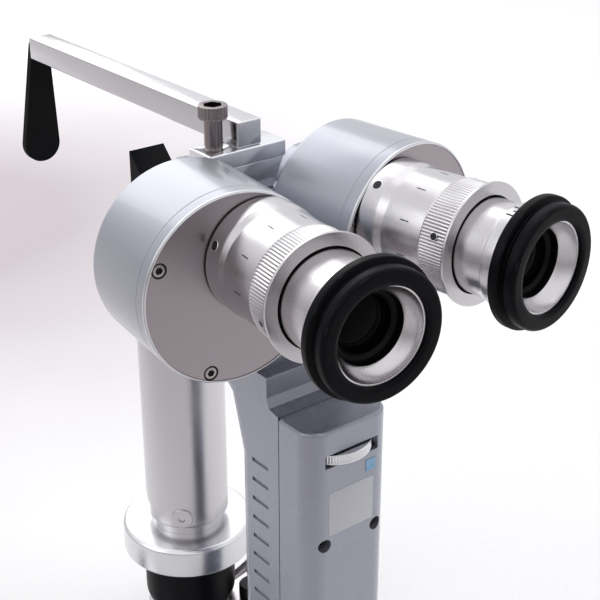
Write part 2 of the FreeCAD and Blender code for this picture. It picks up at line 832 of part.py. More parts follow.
def make_forehead_rest():
    """Top bracket, sliding bar, clamp screw and forehead pad."""
    plate = box(
        (-d.bracket_half_width, d.bracket_front, d.bracket_top - d.bracket_height),
        (d.bracket_half_width, d.bracket_back, d.bracket_top),
    )
    plate_bottom = d.bracket_top - d.bracket_height
    post = length_piece("post", [
        (-d.post_half_width, plate_bottom), (d.post_half_width, plate_bottom),
        (d.post_foot_half_width, d.head_top), (-d.post_foot_half_width, d.head_top),
    ], d.post_front, d.post_back)
    key = length_piece("key", key_corners(0), d.key_start, d.key_end)
    thread = cylinder(d.clamp_shank_radius + d.running_gap, d.bracket_height * 2,
                      d.clamp_x, d.clamp_y, d.clamp_tip - d.face_gap)
    keep(cut(fuse(plate, post, key), thread), "top_bracket")

    half = d.bar_width / 2
    low = d.bracket_top + d.running_gap
    high = low + d.bar_height
    bar = length_piece("bar", [
        (d.bar_centre - half, low), (d.bar_centre + half, low),
        (d.bar_centre + half, high - d.bar_bevel), (d.bar_centre + half - d.bar_bevel, high),
        (d.bar_centre - half + d.bar_bevel, high), (d.bar_centre - half, high - d.bar_bevel),
    ], d.bar_start, d.bar_end)
    slide_end = d.key_end + d.bar_travel
    groove = length_piece("groove", key_corners(d.running_gap), d.key_start - d.running_gap, slide_end)
    entry_half = d.key_head / 2 + d.screw_gap
    entry = box((d.bar_centre - entry_half, slide_end, d.bracket_top),
                (d.bar_centre + entry_half, slide_end + d.key_end - d.key_start + d.screw_gap,
                 d.bracket_top + d.key_height + d.running_gap))
    keep(cut(bar, groove, entry), "forehead_bar")

    clamp = socket_screw(
        d.clamp_head_radius, d.clamp_head_top - d.clamp_head_bottom,
        d.clamp_shank_radius, d.clamp_head_bottom - d.clamp_tip,
        d.clamp_socket_radius, d.clamp_socket_depth, (d.clamp_x, d.clamp_y, d.clamp_head_top),
    )
    keep(clamp, "clamp_screw")

    pad = new_body("forehead_pad")
    top, bottom = d.pad_top_width / 2, d.pad_bottom_width / 2
    section = outline(pad, "XZ_Plane", [
        (-top, d.pad_rise), (top, d.pad_rise), (bottom, -d.pad_drop), (-bottom, -d.pad_drop),
    ])
    extrude(pad, section, d.pad_thickness, reverse=True)
    runs_along_y = lambda edge: edge.BoundBox.YLength > 1
    round_edges(pad, d.pad_top_round, lambda e: runs_along_y(e) and e.BoundBox.ZMin > 0)
    lowest = 1 - d.pad_drop.value
    round_edges(pad, d.pad_bottom_round, lambda e: runs_along_y(e) and e.BoundBox.ZMax < lowest)
    put(pad, d.bar_centre, d.bar_end, d.pad_pivot, (("y", d.pad_tilt),))
    keep(pad, "forehead_pad")


# --- handle -----------------------------------------------------------------------------------
def make_handle():
    """Frame with the neck, front cover, foot cap, indicator and screws."""
    half = d.handle_half_width
    cavity_half = half - d.handle_wall
    frame = side_piece("frame", [
        (d.handle_seam, d.foot_height),
        (d.handle_seam, d.shelf_height),
        (d.neck_front - d.shelf_edge, d.shelf_height + d.shelf_edge),
        (d.neck_front, d.neck_foot_height),
        (d.neck_front, d.neck_step_height),
        (d.neck_recess, d.neck_step_height),
        (d.neck_recess, d.neck_top),
        (d.stem_back, d.neck_top),
        (d.flare_top_y, d.flare_top),
        (d.flare_mid_y, d.flare_mid),
        (d.handle_rear, d.flare_low),
        (d.handle_rear, d.foot_height),
    ], half * 2)
    rear = d.handle_rear.value
    round_edges(frame, d.rear_round, lambda e: (
        e.BoundBox.XLength < 0.1 and e.BoundBox.YMin > rear - 0.1 and e.BoundBox.ZLength > 5
    ))
    low, high = d.shelf_height.value + 0.5, d.neck_step_height.value + 0.1
    reach = d.neck_recess.value - 0.1
    round_edges(frame, d.neck_round, lambda e: (
        e.BoundBox.XLength > 30 and e.BoundBox.YMax < reach
        and low < e.BoundBox.ZMin and e.BoundBox.ZMax < high
    ))
    hollow = outline(frame, "YZ_Plane", [
        (d.handle_seam, d.foot_height), (d.handle_rear - d.handle_wall, d.foot_height),
        (d.handle_rear - d.handle_wall, d.cavity_top), (d.handle_seam, d.cavity_top),
    ])
    extrude(frame, hollow, cavity_half * 2, "Pocket", midplane=True)
    bosses = []
    drills = []
    for x in (-d.cover_screw_x, d.cover_screw_x):
        for z in (d.cover_screw_low, d.cover_screw_high):
            bosses.append(cylinder(d.cover_boss_radius, d.handle_rear - d.handle_wall - d.handle_seam,
                                   x, d.handle_seam, z, (("x", -90),)))
            drills.append(cylinder(d.cover_screw_shank_radius, d.handle_rear - d.handle_wall - d.handle_seam,
                                   x, d.handle_seam, z, (("x", -90),)))
    ridges = []
    for index in range(int(d.ridge_count.value)):
        middle = d.ridge_top - d.ridge_step * index
        for near, far in ((-half - 1, d.ridge_depth - half), (half - d.ridge_depth, half + 1)):
            ridges.append(box((near, d.ridge_front, middle - d.ridge_height / 2),
                              (far, d.ridge_back, middle + d.ridge_height / 2)))
    keep(cut(fuse(frame, *bosses), group(*drills, *ridges)), "handle_frame")

    cover = side_piece("cover", [
        (d.handle_front, d.foot_height), (d.handle_seam, d.foot_height),
        (d.handle_seam, d.shelf_height), (d.handle_front, d.shelf_height),
    ], half * 2)
    front = d.handle_front.value
    round_edges(cover, d.front_round, lambda e: e.BoundBox.ZLength > 50 and e.BoundBox.YMax < front + 1)
    round_edges(cover, d.shelf_edge, lambda e: (
        e.BoundBox.ZMin > d.shelf_height.value - 0.1 and e.BoundBox.YMin < d.handle_seam.value - 1
        and e.BoundBox.YMax < d.handle_seam.value + 0.1 and not (
            e.BoundBox.YLength < 0.01 and e.BoundBox.YMax > d.handle_seam.value - 0.1)
    ))
    inside = outline(cover, "YZ_Plane", [
        (d.handle_front + d.handle_wall, d.foot_height), (d.handle_seam, d.foot_height),
        (d.handle_seam, d.shelf_height - d.handle_wall),
        (d.handle_front + d.handle_wall, d.shelf_height - d.handle_wall),
    ])
    extrude(cover, inside, cavity_half * 2, "Pocket", midplane=True)
    posts = []
    cuts = [
        box((-d.slot_half_width, d.handle_front - 1, d.wheel_level - d.slot_height / 2),
            (d.slot_half_width, d.handle_front + d.handle_wall + 1, d.wheel_level + d.slot_height / 2)),
        box((d.indicator_centre - d.indicator_half_width, d.handle_front - 1, d.indicator_bottom),
            (d.indicator_centre + d.indicator_half_width, d.handle_front + d.handle_wall + 1,
             d.indicator_top)),
    ]
    screws = []
    head_depth = d.cover_screw_depth * 2
    for x in (-d.cover_screw_x, d.cover_screw_x):
        for z in (d.cover_screw_low, d.cover_screw_high):
            depth = d.handle_seam - d.handle_front - d.handle_wall
            inside = d.handle_front + d.handle_wall
            posts.append(cylinder(d.cover_boss_radius, depth, x, inside, z, (("x", -90),)))
            cuts.append(cylinder(d.cover_screw_shank_radius + d.screw_gap, d.handle_half_width, x,
                                 d.handle_front, z, (("x", -90),)))
            cuts.append(cylinder(d.cover_screw_head_radius + d.screw_gap, head_depth + 1, x,
                                 d.handle_front - 1, z, (("x", -90),)))
            place = (x, d.handle_front + d.cover_screw_depth, z, (("x", 90),))
            screws.append(socket_screw(
                d.cover_screw_head_radius, d.cover_screw_depth, d.cover_screw_shank_radius,
                d.cover_screw_length, d.socket_radius, d.socket_depth, place,
            ))
    keep(cut(fuse(cover, *posts), *cuts), "handle_front_cover")
    keep(group(*screws), "cover_screws")

    keep(box((d.indicator_centre - d.indicator_half_width, d.handle_front - d.indicator_proud,
              d.indicator_bottom),
             (d.indicator_centre + d.indicator_half_width, d.handle_front + d.handle_wall,
              d.indicator_top)), "indicator_lens")

    foot = side_piece("foot", [
        (d.handle_front, 0), (d.handle_rear, 0),
        (d.handle_rear, d.foot_height), (d.handle_front, d.foot_height),
    ], half * 2)
    round_edges(foot, d.rear_round, lambda e: e.BoundBox.ZLength > 1 and e.BoundBox.YMin > 0)
    round_edges(foot, d.front_round, lambda e: e.BoundBox.ZLength > 1 and e.BoundBox.YMax < front + 1)
    round_edges(foot, d.foot_bevel, lambda e: e.BoundBox.ZMax < 0.1, "Chamfer")
    places = [(d.contact_step * index, 0) for index in (-1, 0, 1)]
    holes = [cylinder(d.contact_radius, d.foot_height * 2, x, y, -1) for x, y in places]
    pins = [cylinder(d.contact_radius, d.foot_height, x, y, d.face_gap) for x, y in places]
    keep(cut(foot, *holes), "foot_cap")
    keep(group(*pins), "charge_contacts")


def make_handle_inside():
    """Battery on its tray, board with the dimmer, and the brightness thumbwheel."""
    keep(cylinder(d.battery_radius, d.battery_length, 0, d.battery_y, d.battery_bottom), "battery_cell")
    back = d.handle_rear - d.handle_wall
    end = d.battery_bottom + d.battery_length
    wall = d.battery_y + d.battery_radius + d.face_gap
    tray = side_piece("tray", [
        (back, d.battery_bottom - d.tray_wall), (back, end + d.tray_wall),
        (d.battery_y - d.battery_radius, end + d.tray_wall), (d.battery_y - d.battery_radius, end),
        (wall, end), (wall, d.battery_bottom),
        (d.battery_y - d.battery_radius, d.battery_bottom),
        (d.battery_y - d.battery_radius, d.battery_bottom - d.tray_wall),
    ], d.tray_half_width * 2)
    keep(tray, "battery_tray")

    inner_half = d.handle_half_width - d.handle_wall
    wheel_y = d.handle_front - d.wheel_proud + d.wheel_radius
    board = box((-inner_half, d.handle_front + d.handle_wall, d.board_level),
                (inner_half, back, d.board_level + d.board_thickness))
    dimmer_height = d.wheel_level - d.wheel_thickness - d.board_level
    dimmer = cylinder(d.foot_height, dimmer_height, 0, wheel_y, d.board_level)
    shaft = cylinder(d.wheel_bore_radius, d.cavity_top - d.board_level - d.board_thickness * 2,
                     0, wheel_y, d.board_level)
    keep(fuse(board, dimmer, shaft), "control_board")
    rim = turned_piece("brightness_wheel", [
        (d.wheel_bore_radius + d.running_gap, -d.wheel_thickness / 2),
        (d.wheel_radius - d.rim_bevel, -d.wheel_thickness / 2),
        (d.wheel_radius, d.rim_bevel - d.wheel_thickness / 2),
        (d.wheel_radius, d.wheel_thickness / 2 - d.rim_bevel),
        (d.wheel_radius - d.rim_bevel, d.wheel_thickness / 2),
        (d.wheel_bore_radius + d.running_gap, d.wheel_thickness / 2),
    ])
    keep(put(rim, 0, wheel_y, d.wheel_level), "brightness_wheel")


# --- swing arm --------------------------------------------------------------------------------
def arc_piece(label, corners, half_angle, lean=0):
    """A curved piece of constant section about the focus axis, centred on the handle's side."""
    body = turned_piece(label, corners, size(half_angle) * 2, midplane=True)
    return put(body, 0, d.focus_distance, 0, (("z", size(lean) - 90),))


def make_swing_arm():
    """Fixed arm, T-slot rail with end stops, and the carriage locked by a knob on the rail's flange."""
    inner, outer = d.rail_radius - d.rail_half_width, d.rail_radius + d.rail_half_width
    middle, gap = d.rail_radius, d.running_gap
    rail = arc_piece("arc_rail", [
        (inner, d.rail_bottom), (outer, d.rail_bottom), (outer, d.flange_bottom),
        (d.flange_radius, d.flange_bottom), (d.flange_radius, d.rail_top),
        (middle + d.slot_neck_half + gap, d.rail_top), (middle + d.slot_neck_half + gap, d.slot_roof),
        (middle + d.slot_wide_half + gap, d.slot_roof), (middle + d.slot_wide_half + gap, d.slot_floor),
        (middle - d.slot_wide_half - gap, d.slot_floor), (middle - d.slot_wide_half - gap, d.slot_roof),
        (middle - d.slot_neck_half - gap, d.slot_roof), (middle - d.slot_neck_half - gap, d.rail_top),
        (inner, d.rail_top),
    ], d.rail_half_angle)
    keep(rail, "arc_rail")
    stops = [
        arc_piece(f"stop_{lean}", [
            (inner, d.rail_bottom), (outer, d.rail_bottom), (outer, d.rail_top), (inner, d.rail_top),
        ], d.stop_angle / 2, (d.rail_half_angle + d.stop_angle / 2) * lean)
        for lean in (-1, 1)
    ]
    keep(group(*stops), "rail_stops")

    arm = box((-d.arm_half_width, d.handle_rear, d.rail_bottom),
              (d.arm_half_width, d.focus_distance - middle, d.rail_bottom + d.arm_height))
    flange = box((-d.arm_half_width, d.handle_rear, d.rail_bottom),
                 (d.arm_half_width, d.handle_rear + d.arm_flange_thickness,
                  d.rail_bottom + d.arm_flange_height))
    clearance = cylinder(outer, d.rail_top * 2, 0, d.focus_distance, d.rail_bottom - 1)
    keep(cut(fuse(arm, flange), clearance), "arm_bracket")

    neck, wide = d.slot_neck_half, d.slot_wide_half
    base = d.rail_top + d.face_gap
    tongue = arc_piece("carriage_plate", [
        (middle - d.carriage_half_width, d.carriage_top), (middle - d.carriage_half_width, base),
        (middle - neck, base), (middle - neck, d.slot_roof - d.face_gap),
        (middle - wide, d.slot_roof - d.face_gap), (middle - wide, d.slot_floor + d.face_gap),
        (middle + wide, d.slot_floor + d.face_gap), (middle + wide, d.slot_roof - d.face_gap),
        (middle + neck, d.slot_roof - d.face_gap), (middle + neck, base),
        (middle + d.carriage_half_width, base), (middle + d.carriage_half_width, d.carriage_top),
    ], d.carriage_half_angle)
    ear = arc_piece("carriage_ear", [
        (middle + d.slot_wide_half, base), (d.knob_distance + d.ear_half_width, base),
        (d.knob_distance + d.ear_half_width, d.carriage_top), (middle + d.slot_wide_half, d.carriage_top),
    ], d.carriage_half_angle / 2, d.ear_angle)
    knob_x = d.knob_distance * sine(d.ear_angle)
    knob_y = d.focus_distance - d.knob_distance * cosine(d.ear_angle)
    drill = cylinder(d.knob_shank_radius + gap, d.carriage_top, knob_x, knob_y, d.rail_bottom)
    keep(cut(fuse(tongue, ear), drill), "carriage")
    knob = turned_piece("swing_lock_knob", [
        (0, base), (d.knob_shank_radius, base), (d.knob_shank_radius, d.knob_bottom),
        (d.knob_radius, d.knob_bottom), (d.knob_radius, d.knob_top - d.rim_bevel),
        (d.knob_radius - d.rim_bevel, d.knob_top), (0, d.knob_top),
    ])
    keep(put(knob, knob_x, knob_y, 0), "swing_lock_knob")


# --- slit projector ---------------------------------------------------------------------------
def on_column(thing, label):
    """Place a turned piece on the projector's vertical axis."""
    return keep(put(thing, 0, d.focus_distance - d.rail_radius, 0), label)


def make_lamp():
    """Lamp housing with the light source on its metal-cored board, and the condenser."""
    on_column(turned_piece("lamp_housing", [
        (0, d.carriage_top), (d.housing_radius - d.housing_round, d.carriage_top),
        (d.housing_radius - d.cup_round, d.carriage_top + d.housing_round / 2),
        (d.housing_radius, d.carriage_top + d.housing_round),
        (d.housing_radius, d.housing_top), (d.hub_radius, d.housing_top),
        (d.hub_radius, d.housing_neck), (d.housing_bore_radius, d.housing_neck),
        (d.housing_bore_radius, d.housing_floor), (0, d.housing_floor),
    ]), "lamp_housing")
    on_column(turned_piece("lamp_board", [
        (0, d.housing_floor), (d.housing_bore_radius, d.housing_floor),
        (d.housing_bore_radius, d.sink_top), (d.led_radius, d.sink_top),
        (d.led_radius, d.led_top), (0, d.led_top),
    ]), "lamp_board")
    on_column(lens(d.hub_bore_radius, d.condenser_bottom, d.condenser_edge * 2), "condenser_lens")


def make_slit_unit():
    """Hub with the slit shelf, slit-width ring and the two slit blades."""
    on_column(turned_piece("projector_hub", [
        (d.hub_bore_radius, d.housing_neck), (d.hub_radius, d.housing_neck), (d.hub_radius, d.hub_top),
        (d.hub_bore_radius, d.hub_top), (d.hub_bore_radius, d.slit_shelf_top),
        (d.slit_shelf_radius, d.slit_shelf_top), (d.slit_shelf_radius, d.slit_shelf_bottom),
        (d.hub_bore_radius, d.slit_shelf_bottom),
    ]), "projector_hub")
    bore = d.hub_radius + d.running_gap
    base = d.housing_top + d.face_gap
    on_column(turned_piece("slit_width_ring", [
        (bore, base), (d.wheel_ring_radius - d.wheel_ring_bevel, base),
        (d.wheel_ring_radius, base + d.wheel_ring_bevel),
        (d.wheel_ring_radius, d.wheel_ring_top - d.wheel_ring_bevel),
        (d.wheel_ring_radius - d.wheel_ring_bevel, d.wheel_ring_top), (bore, d.wheel_ring_top),
    ]), "slit_width_ring")
    centre = d.focus_distance - d.rail_radius
    low = d.slit_shelf_top + d.face_gap
    for name, side in SIDES:
        near, far = sorted((d.blade_inner * side, (d.blade_inner + d.blade_width) * side),
                           key=lambda span: span.value)
        blade = box((near, centre - d.blade_half_length, low),
                    (far, centre + d.blade_half_length, low + d.blade_thickness))
        keep(blade, f"slit_blade_{name}")


def make_column():
    """Column tube with its clamp screw, projection lens, and the mirror in its holder."""
    column = turned_piece("column", [
        (d.hub_radius, d.column_bottom), (d.column_radius - d.rim_bevel, d.column_bottom),
        (d.column_radius, d.column_bottom + d.rim_bevel),
        (d.column_radius, d.column_top - d.column_bevel), (d.column_radius - d.column_bevel, d.column_top),
        (d.hub_bore_radius, d.column_top), (d.hub_bore_radius, d.column_cap),
        (d.column_bore_radius, d.column_cap), (d.column_bore_radius, d.hub_top),
        (d.hub_radius, d.hub_top),
    ])
    x, y = d.hub_radius * cosine(d.boss_angle), d.hub_radius * sine(d.boss_angle)
    turns = (("z", d.boss_angle), ("y", 90))
    wall = d.column_radius - d.hub_radius
    drill = cylinder(d.boss_radius, wall * 2, x, y, d.boss_height, turns)
    on_column(cut(column, drill), "column_tube")
    stud = cylinder(d.boss_radius, wall + d.boss_proud)
    recess = primitive("Prism", {"Circumradius": d.socket_radius, "Height": d.socket_depth * 2},
                       z=wall + d.boss_proud - d.socket_depth)
    on_column(group(put(cut(stud, recess), x, y, d.boss_height, turns)), "column_screw")
    on_column(lens(d.hub_bore_radius, d.projection_bottom, d.foot_height), "projection_lens")

    rise = d.head_block_top - d.column_top
    near, far = d.head_block_far - rise, d.head_block_far
    holder = side_piece("mirror_holder", [
        (near, d.column_top), (far, d.head_block_top), (far, d.column_top),
    ], d.head_block_half_width * 2)
    wall = d.head_block_wall
    pocket = outline(holder, "YZ_Plane", [
        (near + wall, d.column_top), (far, d.head_block_top - wall), (far, d.column_top),
    ])
    inner_width = (d.head_block_half_width - d.head_block_cheek) * 2
    extrude(holder, pocket, inner_width, "Pocket", midplane=True)
    keep(holder, "mirror_holder")
    keep(side_piece("mirror", [
        (near + wall, d.column_top), (far, d.head_block_top - wall),
        (far, d.head_block_top - wall - d.mirror_thickness),
        (near + wall + d.mirror_thickness, d.column_top),
    ], inner_width), "mirror")


def check_and_export():
    """Recompute, refuse any failed object or bad shape, then write one STEP file per sub-part."""
    document.recompute()
    for thing in document.Objects:
        if "Invalid" in thing.State or "Error" in thing.State:
            raise RuntimeError(f"{thing.Label} did not compute: {thing.State}")
    for thing in sub_parts:
        if thing.Shape.isNull() or not thing.Shape.isValid() or not thing.Shape.Solids:
            raise RuntimeError(f"{thing.Label} has no valid shape")
    os.makedirs("parts", exist_ok=True)
    for thing in sub_parts:
        thing.Shape.exportStep(f"parts/{thing.Label}.step")
    print(f"{len(sub_parts)} sub-parts written")


for side_name, side_sign in SIDES:
    make_drum(side_name, side_sign)
    make_eyepiece(side_name, side_sign)
make_head()
make_forehead_rest()
make_handle()
make_handle_inside()
make_swing_arm()
make_lamp()
make_slit_unit()
make_column()
check_and_export()
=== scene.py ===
"""The looks of a hand-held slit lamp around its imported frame.

Pieces are laid out in millimetres, the studio in metres.
"""
import math

import bmesh
import bpy
from mathutils import Matrix, Vector


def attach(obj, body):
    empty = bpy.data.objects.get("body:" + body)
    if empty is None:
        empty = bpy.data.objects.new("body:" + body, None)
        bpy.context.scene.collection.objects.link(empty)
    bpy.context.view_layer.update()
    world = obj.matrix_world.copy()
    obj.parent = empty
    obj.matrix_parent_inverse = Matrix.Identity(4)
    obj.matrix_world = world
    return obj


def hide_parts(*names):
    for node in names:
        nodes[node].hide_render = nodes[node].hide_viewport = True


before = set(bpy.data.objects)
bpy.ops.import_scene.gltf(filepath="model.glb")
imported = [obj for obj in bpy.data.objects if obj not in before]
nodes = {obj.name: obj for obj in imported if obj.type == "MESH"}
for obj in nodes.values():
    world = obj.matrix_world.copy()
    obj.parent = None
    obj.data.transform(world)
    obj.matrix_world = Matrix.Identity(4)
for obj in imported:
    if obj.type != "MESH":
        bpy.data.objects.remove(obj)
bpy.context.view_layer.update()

MM = 0.001
SIDES = {"left": -1, "right": 1}
CONVERGENCE = math.radians(6.2)
EYE_OFFSET = 12.0
EYE_ANGLE = math.radians(50)
PUPIL_DISTANCE = 66.0
EYECUP_PLANE = -68.8
EYE_HEIGHT = 205.0
DIOPTER = 1.2
SCREW_COUNT = 3
PLATE_SCREW_CIRCLE = 26.9
PLATE_SCREW_FIRST = 155
PLATE_SCREW_STEP = 95
PLATE_FACE = 61.82
TUBE_RADIUS = 17.3
COLLAR_RADIUS = 17.95
COLLAR_SCREW_LEVEL = 58.4
GRIP_RADIUS = 17.75
GRIP_RIDGES = 108
RING_SCREW_LEVEL = 31.9
SLEEVE_RADIUS = 15.9
MOUTH_RADIUS = 13.95
MOUTH_DEPTH = 15.3
CONE_END = 6.2
CLAMP_X = -9.3
CLAMP_Y = 39.4
COLUMN_Y = 79.0
WHEEL_Y = -9.1
WHEEL_Z = 133.5
WHEEL_RIDGES = 90

SKY_LOW = (0.22, 0.20, 0.202)
SKY_HIGH = (1.0, 1.0, 1.02)
# painted shade on the floor: darker in front and to the left
FLOOR_SHADE_FRONT = (0.60, 0.58, 0.582)
FLOOR_SHADE_LEFT = (0.56, 0.535, 0.54)
# painted shade on the floor: a darker pinkish patch behind the lamp
FLOOR_SHADE_BEHIND = (0.52, 0.468, 0.49)
SHADE_PATCH_CENTRE = (0.10, 0.58, 0)
CAMERA_AT = (-0.2299, -0.2857, 0.3543)
CAMERA_RIGHT = (0.7863, -0.6179, 0.0)
CAMERA_UP = (0.2655, 0.3379, 0.9030)
LENS = 77.57
SENSOR = 36.0


# --- materials --------------------------------------------------------------------------------
class Nodes:
    """A short way to write a node tree."""

    def __init__(self, tree):
        self.tree = tree

    def add(self, kind, inputs=None, **settings):
        node = self.tree.nodes.new(kind)
        for key, value in settings.items():
            setattr(node, key, value)
        for key, value in (inputs or {}).items():
            self.put(value, node.inputs[key])
        return node

    def put(self, value, socket):
        if isinstance(value, bpy.types.NodeSocket):
            self.tree.links.new(value, socket)
        elif isinstance(value, bpy.types.Node):
            self.tree.links.new(value.outputs[0], socket)
        else:
            socket.default_value = value

    def math(self, operation, a, b=0.0, clamp=False):
        return self.add("ShaderNodeMath", {0: a, 1: b}, operation=operation, use_clamp=clamp).outputs[0]

    def noise(self, vector, scale, detail=3.0, rough=0.55):
        node = self.add("ShaderNodeTexNoise", {"Vector": vector, "Scale": scale, "Detail": detail,
                                               "Roughness": rough})
        return node.outputs["Fac"]

    def dot(self, vector, other):
        node = self.add("ShaderNodeVectorMath", {0: vector, 1: other}, operation="DOT_PRODUCT")
        return node.outputs["Value"]

    def span(self, value, low, high, start=0.0, end=1.0):
        return self.add("ShaderNodeMapRange", {
            "Value": value, "From Min": start, "From Max": end, "To Min": low, "To Max": high,
        }).outputs["Result"]

    def mix(self, factor, a, b, blend="MIX"):
        node = self.add("ShaderNodeMix", data_type="RGBA", blend_type=blend)
        for index, value in ((0, factor), (6, a), (7, b)):
            self.put(value, node.inputs[index])
        return node.outputs[2]


def rgb(colour):
    return (*colour, 1.0)


def surface(name, colour, rough, metallic=0.0, tint=0.04, patch=35.0, grain=0.06, grain_scale=2600.0,
            bump=0.12, turned=0.0, brushed=None, coat=0.0, coat_rough=0.1, anisotropic=0.0, ior=1.5,
            edge=None, sheen=0.0):
    """A surface with slow tone changes, fine grain, turning or brushing marks and painted edge highlights
    where asked.
    """
    material = bpy.data.materials.new(name)
    material.use_nodes = True
    n = Nodes(material.node_tree)
    shader = material.node_tree.nodes["Principled BSDF"]
    place = n.add("ShaderNodeTexCoord").outputs["Object"]
    slow = n.noise(place, patch)
    fine = n.noise(place, grain_scale, 2.0)
    shade = n.span(slow, 1 - tint, 1 + tint, 0.3, 0.7)
    tone = n.add("ShaderNodeCombineColor", {0: shade, 1: shade, 2: shade})
    base = n.mix(1.0, rgb(colour), tone.outputs[0], "MULTIPLY")
    height = n.math("MULTIPLY", fine, bump)
    rough_value = n.math("ADD", rough - grain / 2, n.math("MULTIPLY", fine, grain))
    rough_value = n.math("ADD", rough_value, n.span(slow, -grain, grain, 0.3, 0.7), clamp=True)
    if turned:
        axes = n.add("ShaderNodeSeparateXYZ", {0: place})
        flat = n.add("ShaderNodeCombineXYZ", {0: axes.outputs[0], 1: axes.outputs[1]})
        radius = n.add("ShaderNodeVectorMath", {0: flat.outputs[0]}, operation="LENGTH").outputs["Value"]
        along = n.math("ADD", n.math("MULTIPLY", radius, 1.7), axes.outputs[2])
        ring = n.add("ShaderNodeTexNoise", {"W": along, "Scale": 5200.0, "Detail": 3.0},
                     noise_dimensions="1D").outputs["Fac"]
        height = n.math("ADD", height, n.math("MULTIPLY", ring, turned))
        base = n.mix(n.span(ring, 0.0, 0.12, 0.35, 0.65), base, rgb([c * 0.75 for c in colour]))
    if brushed:
        scaled = n.add("ShaderNodeMapping", {"Vector": place, "Scale": brushed})
        streak = n.noise(scaled.outputs[0], 1.0, 4.0, 0.65)
        height = n.math("ADD", height, n.math("MULTIPLY", streak, 0.5))
        rough_value = n.math("ADD", rough_value, n.span(streak, -0.05, 0.07, 0.3, 0.7), clamp=True)
        base = n.mix(n.span(streak, 0.0, 0.16, 0.35, 0.65), base, rgb([c * 0.78 for c in colour]))
    # painted highlight: sharp edges, found by pointiness, turn towards the edge colour
    if edge:
        pointed = n.add("ShaderNodeNewGeometry").outputs["Pointiness"]
        edge_highlight = n.span(n.math("ADD", pointed, n.span(fine, -0.01, 0.01)), 0.0, 0.7, 0.53, 0.6)
        base = n.mix(edge_highlight, base, rgb(edge))
    n.put(base, shader.inputs["Base Color"])
    n.put(rough_value, shader.inputs["Roughness"])
    n.put(metallic, shader.inputs["Metallic"])
    n.put(ior, shader.inputs["IOR"])
    n.put(coat, shader.inputs["Coat Weight"])
    n.put(coat_rough, shader.inputs["Coat Roughness"])
    n.put(sheen, shader.inputs["Sheen Weight"])
    if anisotropic:
        tangent = n.add("ShaderNodeTangent", direction_type="RADIAL", axis="Z")
        n.put(anisotropic, shader.inputs["Anisotropic"])
        n.put(tangent, shader.inputs["Tangent"])
    relief = n.add("ShaderNodeBump", {"Height": height, "Strength": 0.35, "Distance": 0.00006})
    n.put(relief, shader.inputs["Normal"])
    return material


def lens_glass(name, colour, slant_reflection):
    """Dark coated glass: clear gloss over a deep tint, with the coating's reflection painted in as a colour
    at a slant.
    """
    material = bpy.data.materials.new(name)
    material.use_nodes = True
    n = Nodes(material.node_tree)
    shader = material.node_tree.nodes["Principled BSDF"]
    place = n.add("ShaderNodeTexCoord").outputs["Object"]
    # painted reflection: the coating's colour is blended in by how slanted the view is
    slant = n.add("ShaderNodeLayerWeight", {"Blend": 0.35}).outputs["Facing"]
    haze = n.noise(place, 180.0, 4.0)
    reflection_share = n.math("MULTIPLY", slant, n.span(haze, 0.7, 1.0))
    n.put(n.mix(reflection_share, rgb(colour), rgb(slant_reflection)), shader.inputs["Base Color"])
    n.put(n.span(haze, 0.02, 0.08), shader.inputs["Roughness"])
    n.put(1.15, shader.inputs["IOR"])
    n.put(0.08, shader.inputs["Coat Weight"])
    n.put(0.02, shader.inputs["Coat Roughness"])
    return material


